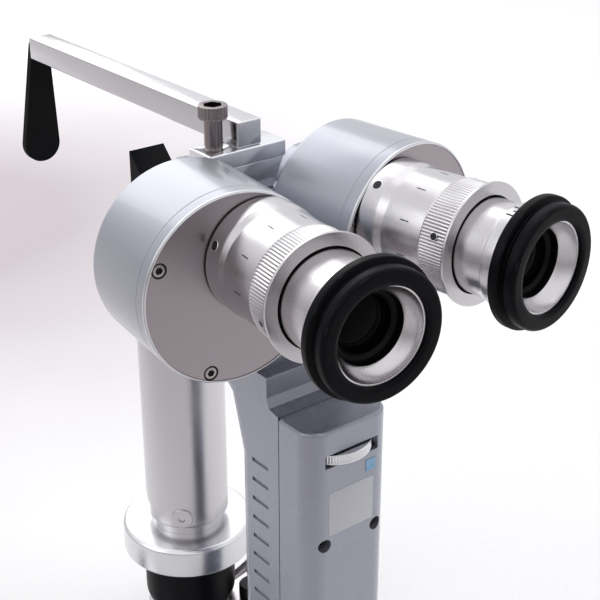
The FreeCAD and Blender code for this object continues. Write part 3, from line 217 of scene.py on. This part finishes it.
FINISHES = {
    "drum_paint": {
        "colour": (0.40, 0.415, 0.46), "rough": 0.36, "metallic": 0.50, "tint": 0.02, "patch": 18,
        "grain": 0.05, "grain_scale": 5200, "bump": 0.16, "coat": 0.5, "coat_rough": 0.10,
    },
    "handle_paint": {
        "colour": (0.37, 0.38, 0.43), "rough": 0.27, "metallic": 0.62, "tint": 0.03, "patch": 22,
        "grain": 0.05, "grain_scale": 4200, "bump": 0.25, "coat": 0.3, "coat_rough": 0.14,
    },
    "satin_aluminium": {
        "colour": (0.65, 0.635, 0.648), "rough": 0.22, "metallic": 1.0, "tint": 0.02, "patch": 30,
        "grain": 0.05, "turned": 0.8, "anisotropic": 0.6,
    },
    "cone_aluminium": {
        "colour": (0.72, 0.70, 0.715), "rough": 0.28, "metallic": 1.0, "tint": 0.02, "patch": 30,
        "grain": 0.04, "turned": 0.5, "anisotropic": 0.6,
    },
    "bracket_metal": {
        "colour": (0.86, 0.87, 0.90), "rough": 0.20, "metallic": 0.85, "tint": 0.02, "patch": 30,
        "grain": 0.05, "grain_scale": 4200, "bump": 0.2, "coat": 0.3,
    },
    "plate_aluminium": {
        "colour": (0.43, 0.395, 0.408), "rough": 0.33, "metallic": 0.95, "tint": 0.02, "patch": 26,
        "grain": 0.05, "grain_scale": 3800, "bump": 0.35,
    },
    "bright_aluminium": {
        "colour": (0.78, 0.78, 0.80), "rough": 0.22, "metallic": 1.0, "tint": 0.02, "patch": 30,
        "grain": 0.05, "turned": 0.6, "anisotropic": 0.3,
    },
    "bar_aluminium": {
        "colour": (0.70, 0.695, 0.715), "rough": 0.16, "metallic": 1.0, "tint": 0.02, "patch": 30,
        "grain": 0.04, "brushed": (700, 30, 700),
    },
    "screw_nickel": {
        "colour": (0.46, 0.44, 0.43), "rough": 0.20, "metallic": 1.0, "tint": 0.05, "patch": 90,
        "grain": 0.06, "turned": 0.5,
    },
    "nickel_steel": {
        "colour": (0.30, 0.265, 0.265), "rough": 0.20, "metallic": 1.0, "tint": 0.05, "patch": 60,
        "grain": 0.08, "turned": 0.5,
    },
    "dark_screw": {
        "colour": (0.10, 0.10, 0.105), "rough": 0.35, "metallic": 0.9, "tint": 0.05, "patch": 90,
        "grain": 0.1, "turned": 0.4,
    },
    "black_rubber": {
        "colour": (0.004, 0.004, 0.006), "rough": 0.40, "metallic": 0.0, "tint": 0.15, "patch": 45,
        # edge: the colour of the painted highlight on sharp edges
        "grain": 0.14, "grain_scale": 3200, "bump": 0.5, "ior": 1.26, "edge": (0.02, 0.02, 0.024),
    },
    "black_anodised": {
        "colour": (0.004, 0.004, 0.006), "rough": 0.42, "metallic": 0.0, "tint": 0.1, "patch": 40,
        "grain": 0.1, "grain_scale": 3600, "bump": 0.4, "ior": 1.30,
    },
    "black_plastic": {
        "colour": (0.010, 0.010, 0.012), "rough": 0.45, "metallic": 0.0, "tint": 0.1, "patch": 40,
        "grain": 0.1, "grain_scale": 2600, "bump": 0.8, "ior": 1.38,
    },
    "pad_foam": {
        "colour": (0.004, 0.0045, 0.006), "rough": 0.6, "metallic": 0.0, "tint": 0.15, "patch": 60,
        "grain": 0.15, "grain_scale": 1800, "bump": 1.2, "ior": 1.28, "sheen": 0.02,
    },
    "front_mirror": {
        "colour": (0.9, 0.9, 0.9), "rough": 0.03, "metallic": 1.0, "tint": 0.01, "patch": 30, "grain": 0.01,
        "bump": 0.0,
    },
    "indicator_blue": {
        "colour": (0.25, 0.47, 0.66), "rough": 0.3, "metallic": 0.0, "tint": 0.12, "patch": 300,
        "grain": 0.05, "coat": 0.4,
    },
    "board_green": {
        "colour": (0.02, 0.10, 0.045), "rough": 0.4, "metallic": 0.0, "tint": 0.3, "patch": 400,
        "grain": 0.1,
    },
    "contact_brass": {
        "colour": (0.72, 0.55, 0.28), "rough": 0.25, "metallic": 1.0, "tint": 0.08, "patch": 200,
        "grain": 0.1,
    },
    "battery_can": {
        "colour": (0.06, 0.14, 0.32), "rough": 0.3, "metallic": 0.0, "tint": 0.06, "patch": 60,
        "grain": 0.08,
    },
    "mark_ink": {
        "colour": (0.03, 0.03, 0.035), "rough": 0.5, "metallic": 0.0, "tint": 0.2, "patch": 400,
        "grain": 0.2,
    },
    "shadow_gap": {
        "colour": (0.01, 0.01, 0.011), "rough": 0.7, "metallic": 0.0, "tint": 0.2, "patch": 200,
        "grain": 0.2,
    },
    "label_grey": {
        "colour": (0.52, 0.53, 0.56), "rough": 0.35, "metallic": 0.1, "tint": 0.03, "patch": 40,
        "grain": 0.08, "grain_scale": 4200, "bump": 0.2, "coat": 0.3,
    },
}
MATERIALS = {finish: surface(finish, **settings) for finish, settings in FINISHES.items()}
MATERIALS["optical_glass"] = lens_glass("optical_glass", (0.001, 0.001, 0.001), (0.008, 0.009, 0.005))


# --- mesh helpers -----------------------------------------------------------------------------
def eye_matrix(side, slide=0.0):
    """Row-frame matrix of an eyepiece's axis; local z runs from the eyecup to the drum."""
    turn = Matrix.Rotation(CONVERGENCE * side, 4, "Z") @ Matrix.Rotation(math.radians(-90), 4, "X")
    spot = Vector((PUPIL_DISTANCE / 2 * side, EYECUP_PLANE, EYE_HEIGHT)) * MM
    return Matrix.Translation(spot) @ turn @ Matrix.Translation((0, 0, slide * MM))


def drum_matrix(side):
    """Row-frame matrix of a drum's axis."""
    shift = Vector((-side * EYE_OFFSET * math.cos(EYE_ANGLE), -EYE_OFFSET * math.sin(EYE_ANGLE), 0)) * MM
    return eye_matrix(side) @ Matrix.Translation(-shift)


def column_matrix():
    return Matrix.Translation((0, COLUMN_Y * MM, 0))


def rounded(points, closed=True, steps=5):
    """Round the corners of (across, along, radius) points; a missing radius keeps the corner sharp."""
    made = []
    count = len(points)
    for index, point in enumerate(points):
        here = Vector(point[:2])
        radius = point[2] if len(point) > 2 else 0.0
        if not radius or (not closed and index in (0, count - 1)):
            made.append(here)
            continue
        before = Vector(points[index - 1][:2]) - here
        after = Vector(points[(index + 1) % count][:2]) - here
        reach = min(radius, before.length * 0.49, after.length * 0.49)
        start, end = here + before.normalized() * reach, here + after.normalized() * reach
        for step in range(steps + 1):
            u = step / steps
            made.append(start * (1 - u) ** 2 + here * 2 * u * (1 - u) + end * u ** 2)
    return made


def finish_mesh(name, mesh_data, matrix, material, sharp=32.0):
    """Turn a bmesh into a smooth-shaded object at a row-frame matrix."""
    bmesh.ops.remove_doubles(mesh_data, verts=mesh_data.verts, dist=1e-7)
    bmesh.ops.recalc_face_normals(mesh_data, faces=mesh_data.faces)
    mesh = bpy.data.meshes.new(name)
    mesh_data.to_mesh(mesh)
    mesh_data.free()
    for polygon in mesh.polygons:
        polygon.use_smooth = True
    mesh.set_sharp_from_angle(angle=math.radians(sharp))
    made = bpy.data.objects.new(name, mesh)
    bpy.context.scene.collection.objects.link(made)
    made.matrix_world = matrix
    mesh.materials.append(MATERIALS[material])
    return made


def lathe(name, profile, matrix, material, segments=144, closed=True, wave=None, sharp=32.0):
    """Turn a half section of (radius, height, corner radius) points about local z.

    wave(angle, radius, height) may change the radius round the turn, for knurls and sockets.
    """
    points = rounded(profile, closed)
    work = bmesh.new()
    rings = []
    for segment in range(segments):
        angle = 2 * math.pi * segment / segments
        ring = []
        for radius, height in points:
            reach = wave(angle, radius, height) if wave else radius
            spot = (reach * math.cos(angle) * MM, reach * math.sin(angle) * MM, height * MM)
            ring.append(work.verts.new(spot))
        rings.append(ring)
    count = len(points)
    for segment in range(segments):
        here, there = rings[segment], rings[(segment + 1) % segments]
        for index in range(count if closed else count - 1):
            after = (index + 1) % count
            quad = (here[index], there[index], there[after], here[after])
            if points[index][0] < 1e-6 and points[after][0] < 1e-6:
                continue
            work.faces.new(quad)
    return finish_mesh(name, work, matrix, material, sharp)


def slab(name, outline, low, high, matrix, material, bevel=0.4, steps=3):
    """Extrude an (x, y) outline along local z, all its edges rounded by bevel."""
    work = bmesh.new()
    base = [work.verts.new((x * MM, y * MM, low * MM)) for x, y in outline]
    face = work.faces.new(base)
    grown = bmesh.ops.extrude_face_region(work, geom=[face])
    moved = [item for item in grown["geom"] if isinstance(item, bmesh.types.BMVert)]
    bmesh.ops.translate(work, verts=moved, vec=(0, 0, (high - low) * MM))
    bmesh.ops.recalc_face_normals(work, faces=work.faces)
    if bevel:
        edges = [edge for edge in work.edges if edge.calc_face_angle(0) > math.radians(30)]
        bmesh.ops.bevel(work, geom=edges, offset=bevel * MM, segments=steps, profile=0.5, affect="EDGES",
                        clamp_overlap=True)
    return finish_mesh(name, work, matrix, material, sharp=35.0)


def block(name, low, high, material, bevel=0.4, steps=3):
    """A box between two row-frame corners with rounded edges."""
    outline = [(low[0], low[1]), (high[0], low[1]), (high[0], high[1]), (low[0], high[1])]
    return slab(name, outline, low[2], high[2], Matrix.Identity(4), material, bevel, steps)


def hexagon(apothem, angle):
    """Radius of a hexagon at an angle, for lathe waves."""
    return apothem / math.cos(angle % (math.pi / 3) - math.pi / 6)


def socket_head(name, radius, height, socket, depth, matrix, material, knurl=0.0, ridges=0, shank=None):
    """A round screw head with a hex socket in its top at local z = 0; the shank runs down from it."""

    def wave(angle, reach, level):
        if reach <= socket + 0.01:
            return hexagon(socket, angle) * reach / socket if reach > 0.01 else reach
        if knurl and reach > radius - knurl * 1.5 and -height + 0.3 < level < -0.45:
            return reach - knurl * (0.5 + 0.5 * math.cos(angle * ridges))
        return reach

    profile = [(0, -depth), (socket, -depth), (socket, 0), (radius, 0, min(0.45, radius * 0.2)),
               (radius, -height * 0.5), (radius, -height, 0.3)]
    if knurl:
        profile = [(0, -depth), (socket, -depth), (socket, 0), (radius, 0, 0.45), (radius, -0.55),
                   (radius, -0.7), (radius, -height + 0.5), (radius, -height + 0.35),
                   (radius, -height, 0.2)]
    if shank:
        profile += [(shank[0], -height), (shank[0], -height - shank[1]), (0, -height - shank[1])]
    else:
        profile += [(0, -height)]
    return lathe(name, profile, matrix, material, 144 if knurl else 72, closed=False, wave=wave)


def show(piece, body, material, *stands_for):
    """Let a piece ride on its body, in place of CAD nodes where named."""
    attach(piece, body)
    if stands_for:
        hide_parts(*stands_for)
    return piece


def dress(material, *names):
    """Give CAD nodes a material."""
    for name in names:
        data = nodes[name].data
        data.materials.clear()
        data.materials.append(MATERIALS[material])


def carve(piece, *tools):
    """Cut tools out of a piece, then drop the tools."""
    for tool in tools:
        step = piece.modifiers.new("carve", "BOOLEAN")
        step.operation = "DIFFERENCE"
        step.solver = "EXACT"
        step.object = tool
    bpy.context.view_layer.update()
    depsgraph = bpy.context.evaluated_depsgraph_get()
    mesh = bpy.data.meshes.new_from_object(piece.evaluated_get(depsgraph))
    piece.modifiers.clear()
    piece.data = mesh
    for tool in tools:
        bpy.data.objects.remove(tool, do_unlink=True)
    return piece


# --- drums and eyepieces ----------------------------------------------------------------------
def make_drum(name, side):
    """A drum's case, the bright edge round its plate, and the plate's screws with painted shade round their
    heads and in their sockets.
    """
    body = f"drum_{name}"
    place = drum_matrix(side)
    shell = lathe(f"{body}_case", [
        (29.2, 64.3), (29.2, 61.95, 0.2), (29.35, 61.5, 0.25), (29.6, 61.5, 0.25), (30, 61.95, 0.35),
        (30, 66.0), (29.88, 66.15), (29.88, 66.3), (30, 66.45), (30, 96.7, 1.6), (11.05, 96.7),
        (11.05, 94.3), (27.6, 94.3), (27.6, 74.1), (24.5, 71.0), (24.5, 64.3),
    ], place, "drum_paint", 192)
    show(shell, body, "drum_paint", f"drum_shell_{name}")
    rim = lathe(f"{body}_rim", [
        (29.3, 61.48), (29.55, 61.44, 0.08), (30.02, 61.98, 0.1), (30.02, 62.25), (29.3, 62.25),
    ], place, "bright_aluminium", 192, sharp=50)
    show(rim, body, "bright_aluminium")
    dress("plate_aluminium", f"drum_plate_{name}")
    dress("black_anodised", f"prism_seat_{name}")
    dress("optical_glass", f"drum_prism_{name}")

    for index in range(SCREW_COUNT):
        angle = -math.radians(PLATE_SCREW_FIRST + PLATE_SCREW_STEP * index)
        spot = place @ Matrix.Translation((PLATE_SCREW_CIRCLE * math.cos(angle) * MM,
                                           PLATE_SCREW_CIRCLE * math.sin(angle) * MM, PLATE_FACE * MM))
        head = socket_head(f"{body}_screw_{index}", 2.0, 1.4, 1.0, 0.95,
                           spot @ Matrix.Rotation(math.pi, 4, "X"), "screw_nickel", shank=(1.25, 5.5))
        # painted shade: a dark ring round each screw head and a dark disc down in its socket
        sink_shade = lathe(f"{body}_sink_{index}", [(2.0, -0.06), (2.0, 0.0), (2.4, 0.0), (2.4, -0.06)],
                     spot, "shadow_gap", 48)
        socket_shade = lathe(f"{body}_socket_{index}", [(0, 0.5), (1.0, 0.5), (1.0, 0.9), (0, 0.9)],
                    spot, "shadow_gap", 6, closed=False)
        show(head, body, "nickel_steel")
        show(socket_shade, body, "black_anodised")
        show(sink_shade, body, "black_anodised")
    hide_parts(f"plate_screws_{name}")


def on_cylinder(place, angle, radius, level):
    """Matrix of a spot on a cylinder about place's z axis, its own z pointing outwards."""
    turned = place @ Matrix.Rotation(math.radians(angle), 4, "Z")
    return turned @ Matrix.Translation((radius * MM, 0, level * MM)) @ Matrix.Rotation(math.pi / 2, 4, "Y")


def sunk_screw(name, radius, place, body):
    """A set screw deep in its hole: a dark plug of painted shade for the bore, the socket's rim inside it,
    and the hole's lit edge.
    """
    # painted shade: a dark plug on the surface stands for the depth of the hole
    bore_shade = lathe(f"{name}_bore", [(0, -0.7), (0, 0.05), (radius, 0.05, 0.04), (radius, -0.7)],
                 place, "shadow_gap", 48, closed=False)
    rim = lathe(f"{name}_rim", [(radius * 0.36, 0.03), (radius * 0.36, 0.09), (radius * 0.58, 0.09),
                                (radius * 0.58, 0.03)], place, "dark_screw", 36)
    lip = lathe(f"{name}_lip", [(radius - 0.03, 0.0), (radius - 0.03, 0.06), (radius + 0.08, 0.1),
                                (radius + 0.26, 0.0)], place, "cone_aluminium", 48)
    show(bore_shade, body, "black_anodised")
    show(rim, body, "dark_screw")
    show(lip, body, "bright_aluminium")
    return rim


def make_eyepiece(name, side):
    """The tube fixed to a drum, its set screws, and the pieces that move on it."""
    body = f"drum_{name}"
    place = eye_matrix(side)
    tube = lathe(f"eyepiece_tube_body_{name}", [
        (14.75, 31), (16.0, 31, 0.2), (16.0, 37.15), (TUBE_RADIUS, 37.15, 0.25), (TUBE_RADIUS, 51.8, 0.4),
        (COLLAR_RADIUS, 54.6, 0.5), (COLLAR_RADIUS, 61.2, 0.3), (17.1, 61.2), (17.1, 61.85), (13.5, 61.85),
        (13.5, 38.6), (14.75, 38.6),
    ], place, "satin_aluminium", 180, sharp=25)
    show(tube, body, "satin_aluminium", f"eyepiece_tube_{name}")
    # painted shade: a dark band where the tube's foot meets the plate
    gap = lathe(f"tube_foot_shade_{name}", [(17.05, 61.3), (17.2, 61.3), (17.2, 61.75), (17.05, 61.75)],
                place, "shadow_gap", 120)
    show(gap, body, "black_anodised")
    for index in range(SCREW_COUNT):
        angle = 216.5 + 11.5 * side + 120 * index
        spot = on_cylinder(place, angle, COLLAR_RADIUS - 0.02, COLLAR_SCREW_LEVEL)
        sunk_screw(f"tube_screw_{name}_{index}", 1.45, spot, body)
    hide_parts(f"tube_screws_{name}")
    make_marks(name, side, place, body)
    make_ring(name, side, place)
    make_ocular(name, side)


def curved_mark(work, radius, angle, z_low, z_high, width, lift=0.03):
    """Add a thin mark that follows a cylinder: along its axis from z_low to z_high."""
    steps = 3
    spread = width / radius / 2
    rows = []
    for level in (z_low, z_high):
        row = []
        for step in range(steps + 1):
            turn = angle - spread + 2 * spread * step / steps
            row.append(work.verts.new(((radius + lift) * math.cos(turn) * MM,
                                       (radius + lift) * math.sin(turn) * MM, level * MM)))
        rows.append(row)
    for step in range(steps):
        work.faces.new((rows[0][step], rows[0][step + 1], rows[1][step + 1], rows[1][step]))


def make_marks(name, side, place, body):
    """Short index lines round the fixed tube."""
    work = bmesh.new()
    for index in range(10):
        angle = math.radians(36 * index + (284 if side < 0 else 204))
        curved_mark(work, TUBE_RADIUS, angle, 42.4, 45.6, 0.32)
    marks = finish_mesh(f"tube_marks_{name}", work, place, "mark_ink")
    show(marks, body, "black_anodised")


def make_ring(name, side, place):
    """Diopter ring: thin plain lip in front, straight knurl behind it, and a dark band of painted shade in
    the gap round the sleeve.
    """
    body = f"ring_{name}"

    def wave(angle, radius, height):
        if radius > 17.2 and 27.4 < height < 36.6:
            return radius - 0.16 - 0.16 * math.cos(angle * GRIP_RIDGES)
        return radius

    ring = lathe(f"diopter_ring_body_{name}", [
        (15.2, 26.0, 0.12), (19.2, 26.0, 0.3), (19.2, 27.0, 0.25), (GRIP_RADIUS, 27.15),
        (GRIP_RADIUS, 27.3), (GRIP_RADIUS, 27.5), (GRIP_RADIUS, 36.5), (GRIP_RADIUS, 36.7),
        (17.6, 37.0, 0.1), (16.05, 37.0), (16.05, 30.9), (14.8, 30.9), (14.8, 28.8), (15.2, 28.8),
    ], place, "satin_aluminium", GRIP_RIDGES * 6, wave=wave, sharp=28)
    show(ring, body, "satin_aluminium", f"diopter_ring_{name}")
    # painted shade: a dark band that fills the gap between the ring and the sleeve
    sleeve_gap_shade = lathe(f"ring_sleeve_gap_shade_{name}", [
        (14.8, 26.7, 0.1), (15.18, 26.7, 0.1), (15.18, 28.75), (14.8, 28.75),
    ], place, "shadow_gap", 120)
    show(sleeve_gap_shade, body, "black_anodised")
    spot = on_cylinder(place, 162 if side < 0 else 199, GRIP_RADIUS - 0.03, RING_SCREW_LEVEL)
    sunk_screw(f"ring_screw_{name}", 1.1, spot, body)


def make_ocular(name, side):
    """The sliding eyepiece, its lock ring and lens, and the rubber eyecup."""
    body = f"ocular_{name}"
    place = eye_matrix(side, DIOPTER * side)
    sleeve = lathe(f"eyepiece_sleeve_{name}", [
        (13.9, 1.45, 0.1), (15.15, 1.45), (15.15, 9.3), (SLEEVE_RADIUS, 9.3), (SLEEVE_RADIUS, 14.2, 0.3),
        (14.7, 14.5, 0.1), (14.7, 34), (13.4, 34), (13.4, 56), (11.2, 56), (11.2, 38), (8.8, 38),
        (8.8, 15.2), (10.3, 15.2), (10.3, 6.6), (10.5, 6.15), (11.1, 5.5), (11.9, 4.6), (12.6, 3.6),
        (13.15, 2.6), (13.5, 1.6),
    ], place, "satin_aluminium", 180, sharp=25)
    sleeve.data.materials.append(MATERIALS["cone_aluminium"])
    sleeve.data.materials.append(MATERIALS["black_anodised"])
    for polygon in sleeve.data.polygons:
        if polygon.center.xy.length < MOUTH_RADIUS * MM and polygon.center.z < MOUTH_DEPTH * MM:
            polygon.material_index = 1 if polygon.center.z < CONE_END * MM else 2
    show(sleeve, body, "satin_aluminium", f"eyepiece_{name}")
    lock = lathe(f"lens_ring_{name}", [
        (8.3, 9.0, 0.1), (9.3, 8.0, 0.15), (10.25, 8.0), (10.25, 10.4), (8.3, 10.4),
    ], place, "black_anodised", 120)
    show(lock, body, "black_anodised", f"lens_lock_ring_{name}")
    dome = [(0, 8.9), (2.5, 9.0), (5.0, 9.3), (7.0, 9.75), (8.6, 10.3), (8.6, 11.5), (0, 11.5)]
    glass = lathe(f"eye_lens_{name}", dome, place, "optical_glass", 96, closed=False, sharp=50)
    show(glass, body, "optical_glass")
    dress("optical_glass", f"eyepiece_lenses_{name}")
    cup = lathe(f"eyecup_rubber_{name}", [
        (13.95, 1.4), (13.95, 0.5, 0.4), (15.0, 0.0, 0.6), (18.2, 0.0, 0.8), (18.9, 0.9, 0.7),
        (18.9, 3.6, 0.4), (18.3, 4.1, 0.3), (18.3, 4.7, 0.2), (20.2, 5.3, 0.5), (20.2, 8.0, 0.8),
        (19.2, 8.6, 0.5), (16.0, 9.3, 0.2), (15.2, 9.3), (15.2, 1.4),
    ], place, "black_rubber", 180, sharp=60)
    show(cup, body, "black_rubber", f"eyecup_{name}")
    work = bmesh.new()
    start = math.radians(-112 if side > 0 else -70)
    for index in range(3):
        curved_mark(work, SLEEVE_RADIUS, start + index * 0.125, 10.3, 13.6 if index != 1 else 12.5, 0.55)
    marks = finish_mesh(f"eyepiece_marks_{name}", work, place, "mark_ink")
    show(marks, body, "black_anodised")


# --- forehead rest ----------------------------------------------------------------------------
def key_section(gap):
    """Dovetail that guides the bar, as (x, z) corners widened by gap."""
    return [(-0.8 - gap, 220.9), (3.2 + gap, 220.9), (4.4 + gap, 224.3 + gap), (-2.0 - gap, 224.3 + gap)]


def run_along(name, section, start, end, material, bevel):
    """Extrude an (x, z) section from y = start to y = end."""
    return slab(name, section, -end, -start, Matrix.Rotation(math.pi / 2, 4, "X"), material, bevel, 3)


def clamp_drill():
    """The hole that the clamp screw goes down, as a cutting tool."""
    return lathe("drill", [(0, 210), (3.0, 210), (3.0, 225), (0, 225)],
                 Matrix.Translation((CLAMP_X * MM, CLAMP_Y * MM, 0)), "shadow_gap", 48, closed=False)


def make_forehead_rest():
    """The bracket on top, the bar that slides on its key, the pad and the clamp screw."""
    plate = block("top_bracket_plate", (-15, 33.3, 215.4), (15, 45.3, 220.9), "bracket_metal", 0.5, 4)
    show(carve(plate, clamp_drill()), "root", "handle_paint", "top_bracket")
    post = run_along("top_bracket_post", [(-14.8, 215.45), (14.8, 215.45), (10.6, 205.5), (-10.6, 205.5)],
                     34.0, 54.0, "bracket_metal", 0.5)
    show(carve(post, clamp_drill()), "root", "handle_paint")
    key = run_along("top_bracket_key", key_section(0), 38.9, 45.1, "bracket_metal", 0)
    show(key, "root", "handle_paint")

    bar = block("forehead_bar_body", (-3.55, 34.4, 220.95), (5.95, 174.5, 229.65), "bar_aluminium", 0.55, 4)
    groove = run_along("groove", key_section(0.05), 38.85, 71.15, "shadow_gap", 0)
    groove.location.z -= 0.02 * MM
    entry = block("entry", (-2.2, 71.1, 220.8), (4.6, 77.5, 224.35), "shadow_gap", 0)
    show(carve(bar, groove, entry), "forehead_rest", "bright_aluminium", "forehead_bar")
    dress("pad_foam", "forehead_pad")
    screw = socket_head("clamp_screw_body", 4.75, 4.2, 2.75, 3.2,
                        Matrix.Translation((CLAMP_X * MM, CLAMP_Y * MM, 235.6 * MM)), "nickel_steel",
                        knurl=0.22, ridges=24, shank=(2.95, 15.8))
    show(screw, "clamp", "nickel_steel", "clamp_screw")


# --- slit projector ---------------------------------------------------------------------------
def make_projector():
    """The column with its screw, the slit ring, the lamp housing, and what is inside."""
    place = column_matrix()
    column = lathe("column_body", [
        (14.05, 59.8), (15.4, 59.8, 0.4), (16.0, 60.6, 0.4), (16, 178, 0.8), (10.5, 178), (10.5, 168),
        (13.8, 168), (13.8, 66), (14.05, 66),
    ], place, "satin_aluminium", 144)
    show(column, "illumination", "satin_aluminium", "column_tube")
    stud = socket_head("column_screw_body", 4.2, 2.6, 1.3, 1.4, on_cylinder(place, 229, 16.5, 64.6),
                       "satin_aluminium")
    show(stud, "illumination", "dark_screw", "column_screw")
    ring = lathe("slit_ring_body", [
        (14.05, 43.1), (24.4, 43.1, 0.5), (25.7, 44.4, 0.5), (25.7, 54.7, 0.5), (24.4, 56.0, 0.5),
        (14.05, 56.0),
    ], place, "bright_aluminium", 180)
    show(ring, "slit_ring", "bright_aluminium", "slit_width_ring")
    housing = lathe("lamp_housing_body", [
        (0, 17), (11.5, 17, 2.0), (16.6, 18.6, 2.6), (18, 22.6, 2.0), (18, 43, 0.3), (14, 43), (14, 38),
        (0, 38),
    ], place, "black_anodised", 120, closed=False)
    show(housing, "illumination", "black_anodised", "lamp_housing")
    dress("satin_aluminium", "projector_hub", "carriage", "lamp_board", "arc_rail", "drum_spigots")
    dress("black_anodised", "mirror_holder", "rail_stops", "objective_cells", "slit_blade_left",
          "slit_blade_right")
    dress("front_mirror", "mirror")
    dress("black_plastic", "swing_lock_knob")
    dress("optical_glass", "objective_lenses", "fixed_prisms", "condenser_lens", "projection_lens")


# --- handle -----------------------------------------------------------------------------------
def make_handle():
    """The handle's finishes, its wheel, dark strips of painted shade in the seams round its cover, and a
    plain plate.
    """
    dress("handle_paint", "handle_frame", "handle_front_cover", "head_body", "arm_bracket")
    dress("black_plastic", "foot_cap", "battery_tray")
    dress("contact_brass", "charge_contacts")
    dress("dark_screw", "cover_screws")
    dress("indicator_blue", "indicator_lens")
    dress("board_green", "control_board")
    dress("battery_can", "battery_cell")

    def wave(angle, radius, height):
        if radius > 13.3 and abs(height) < 1.2:
            return radius - 0.12 - 0.12 * math.cos(angle * WHEEL_RIDGES)
        return radius

    wheel = lathe("brightness_wheel_body", [
        (2.55, -1.8), (13.5, -1.8, 0.4), (13.5, -1.25), (13.5, -1.1), (13.5, 1.1), (13.5, 1.25),
        (13.5, 1.8, 0.4), (2.55, 1.8),
    ], Matrix.Translation((0, WHEEL_Y * MM, WHEEL_Z * MM)), "bright_aluminium", WHEEL_RIDGES * 6, wave=wave)
    show(wheel, "brightness", "bright_aluminium", "brightness_wheel")
    # painted shade: dark strips in the seams between the frame and the cover
    for seam_name, low_x, high_x, low_z in (
        ("left", -16.93, -16.6, 6), ("right", 16.6, 16.93, 6), ("top", -16.9, 16.9, 144.2),
    ):
        seam_shade = block(f"handle_seam_shade_{seam_name}", (low_x, -3.73, low_z), (high_x, -3.47, 144.52),
                     "shadow_gap", 0)
        show(seam_shade, "root", "black_anodised")
    label = block("label_plate", (-9.3, -20.12, 105.0), (9.3, -19.9, 121.5), "label_grey", 0.1, 2)
    show(label, "root", "handle_paint")


# --- studio -----------------------------------------------------------------------------------
def make_world():
    """A bright sky that leans a little, dimmer towards the horizon."""
    world = bpy.data.worlds.new("studio")
    bpy.context.scene.world = world
    world.use_nodes = True
    n = Nodes(world.node_tree)
    toward = n.add("ShaderNodeTexCoord").outputs["Generated"]
    lean = n.dot(toward, (0.20, 0.15, 0.97))
    tone = n.mix(n.span(lean, 0.0, 1.0, -0.30, 0.45), rgb(SKY_LOW), rgb(SKY_HIGH))
    back = world.node_tree.nodes["Background"]
    n.put(tone, back.inputs["Color"])
    n.put(0.95, back.inputs["Strength"])


def make_floor():
    """Pale paper with painted shade: darker in front and to the left, and a faint darker pinkish patch
    behind.
    """
    bpy.ops.mesh.primitive_plane_add(size=12)
    floor = bpy.context.object
    floor.name = "floor"
    material = bpy.data.materials.new("floor_paper")
    material.use_nodes = True
    n = Nodes(material.node_tree)
    shader = material.node_tree.nodes["Principled BSDF"]
    place = n.add("ShaderNodeTexCoord").outputs["Object"]
    depth = n.dot(place, (0.8, 1.0, 0))
    white = n.span(n.noise(place, 400, 3), 0.84, 0.90)
    pale = n.add("ShaderNodeCombineColor", {0: white, 1: white, 2: white})
    # painted shade: the floor darkens towards the front and towards the left
    tone = n.mix(n.span(depth, 0.0, 1.0, -0.42, 0.05), rgb(FLOOR_SHADE_FRONT), pale.outputs[0])
    across = n.add("ShaderNodeSeparateXYZ", {0: place}).outputs[0]
    tone = n.mix(n.span(across, 1.0, 0.0, -0.30, 0.0), tone, rgb(FLOOR_SHADE_LEFT))
    # painted shade: a darker pinkish patch with a ragged edge behind the lamp
    away = n.add("ShaderNodeVectorMath", {0: place, 1: SHADE_PATCH_CENTRE}, operation="DISTANCE")
    ragged = n.math("ADD", away.outputs["Value"], n.span(n.noise(place, 5), -0.05, 0.05))
    shade_patch = n.span(ragged, 1.0, 0.0, 0.10, 0.42)
    n.put(n.mix(shade_patch, tone, rgb(FLOOR_SHADE_BEHIND)), shader.inputs["Base Color"])
    n.put(0.7, shader.inputs["Roughness"])
    floor.data.materials.append(material)


def make_lights():
    for name, spot, target, size, power, colour in (
        ("key", (0.30, 0.25, 1.1), (0, 0, 0.15), 0.9, 1.3, (1.0, 1.0, 1.0)),
        ("back", (0.2, 1.4, 0.9), (0, 0.3, 0.1), 1.2, 6.4, (1.0, 1.0, 1.0)),
        ("side", (-1.0, 0.25, 0.75), (0, 0, 0.15), 0.6, 1.0, (0.96, 0.98, 1.0)),
    ):
        light = bpy.data.lights.new(name, "AREA")
        light.size = size
        light.energy = power
        light.color = colour
        lamp = bpy.data.objects.new(name, light)
        bpy.context.scene.collection.objects.link(lamp)
        lamp.location = spot
        lamp.rotation_euler = (Vector(target) - Vector(spot)).to_track_quat("-Z", "Y").to_euler()


def make_camera():
    scene = bpy.context.scene
    scene.view_settings.view_transform = "Standard"
    scene.view_settings.look = "Medium High Contrast"
    scene.view_settings.exposure = -0.2
    data = bpy.data.cameras.new("camera")
    data.sensor_width = SENSOR
    data.lens = LENS
    camera = bpy.data.objects.new("camera", data)
    scene.collection.objects.link(camera)
    right = Vector(CAMERA_RIGHT)
    up = Vector(CAMERA_UP)
    back_axis = right.cross(up).normalized()
    up = back_axis.cross(right).normalized()
    camera.matrix_world = Matrix((
        (right.x, up.x, back_axis.x, CAMERA_AT[0]),
        (right.y, up.y, back_axis.y, CAMERA_AT[1]),
        (right.z, up.z, back_axis.z, CAMERA_AT[2]),
        (0, 0, 0, 1),
    ))
    scene.camera = camera


for side_name, side_sign in SIDES.items():
    make_drum(side_name, side_sign)
    make_eyepiece(side_name, side_sign)
make_forehead_rest()
make_projector()
make_handle()
make_world()
make_floor()
make_lights()
make_camera()
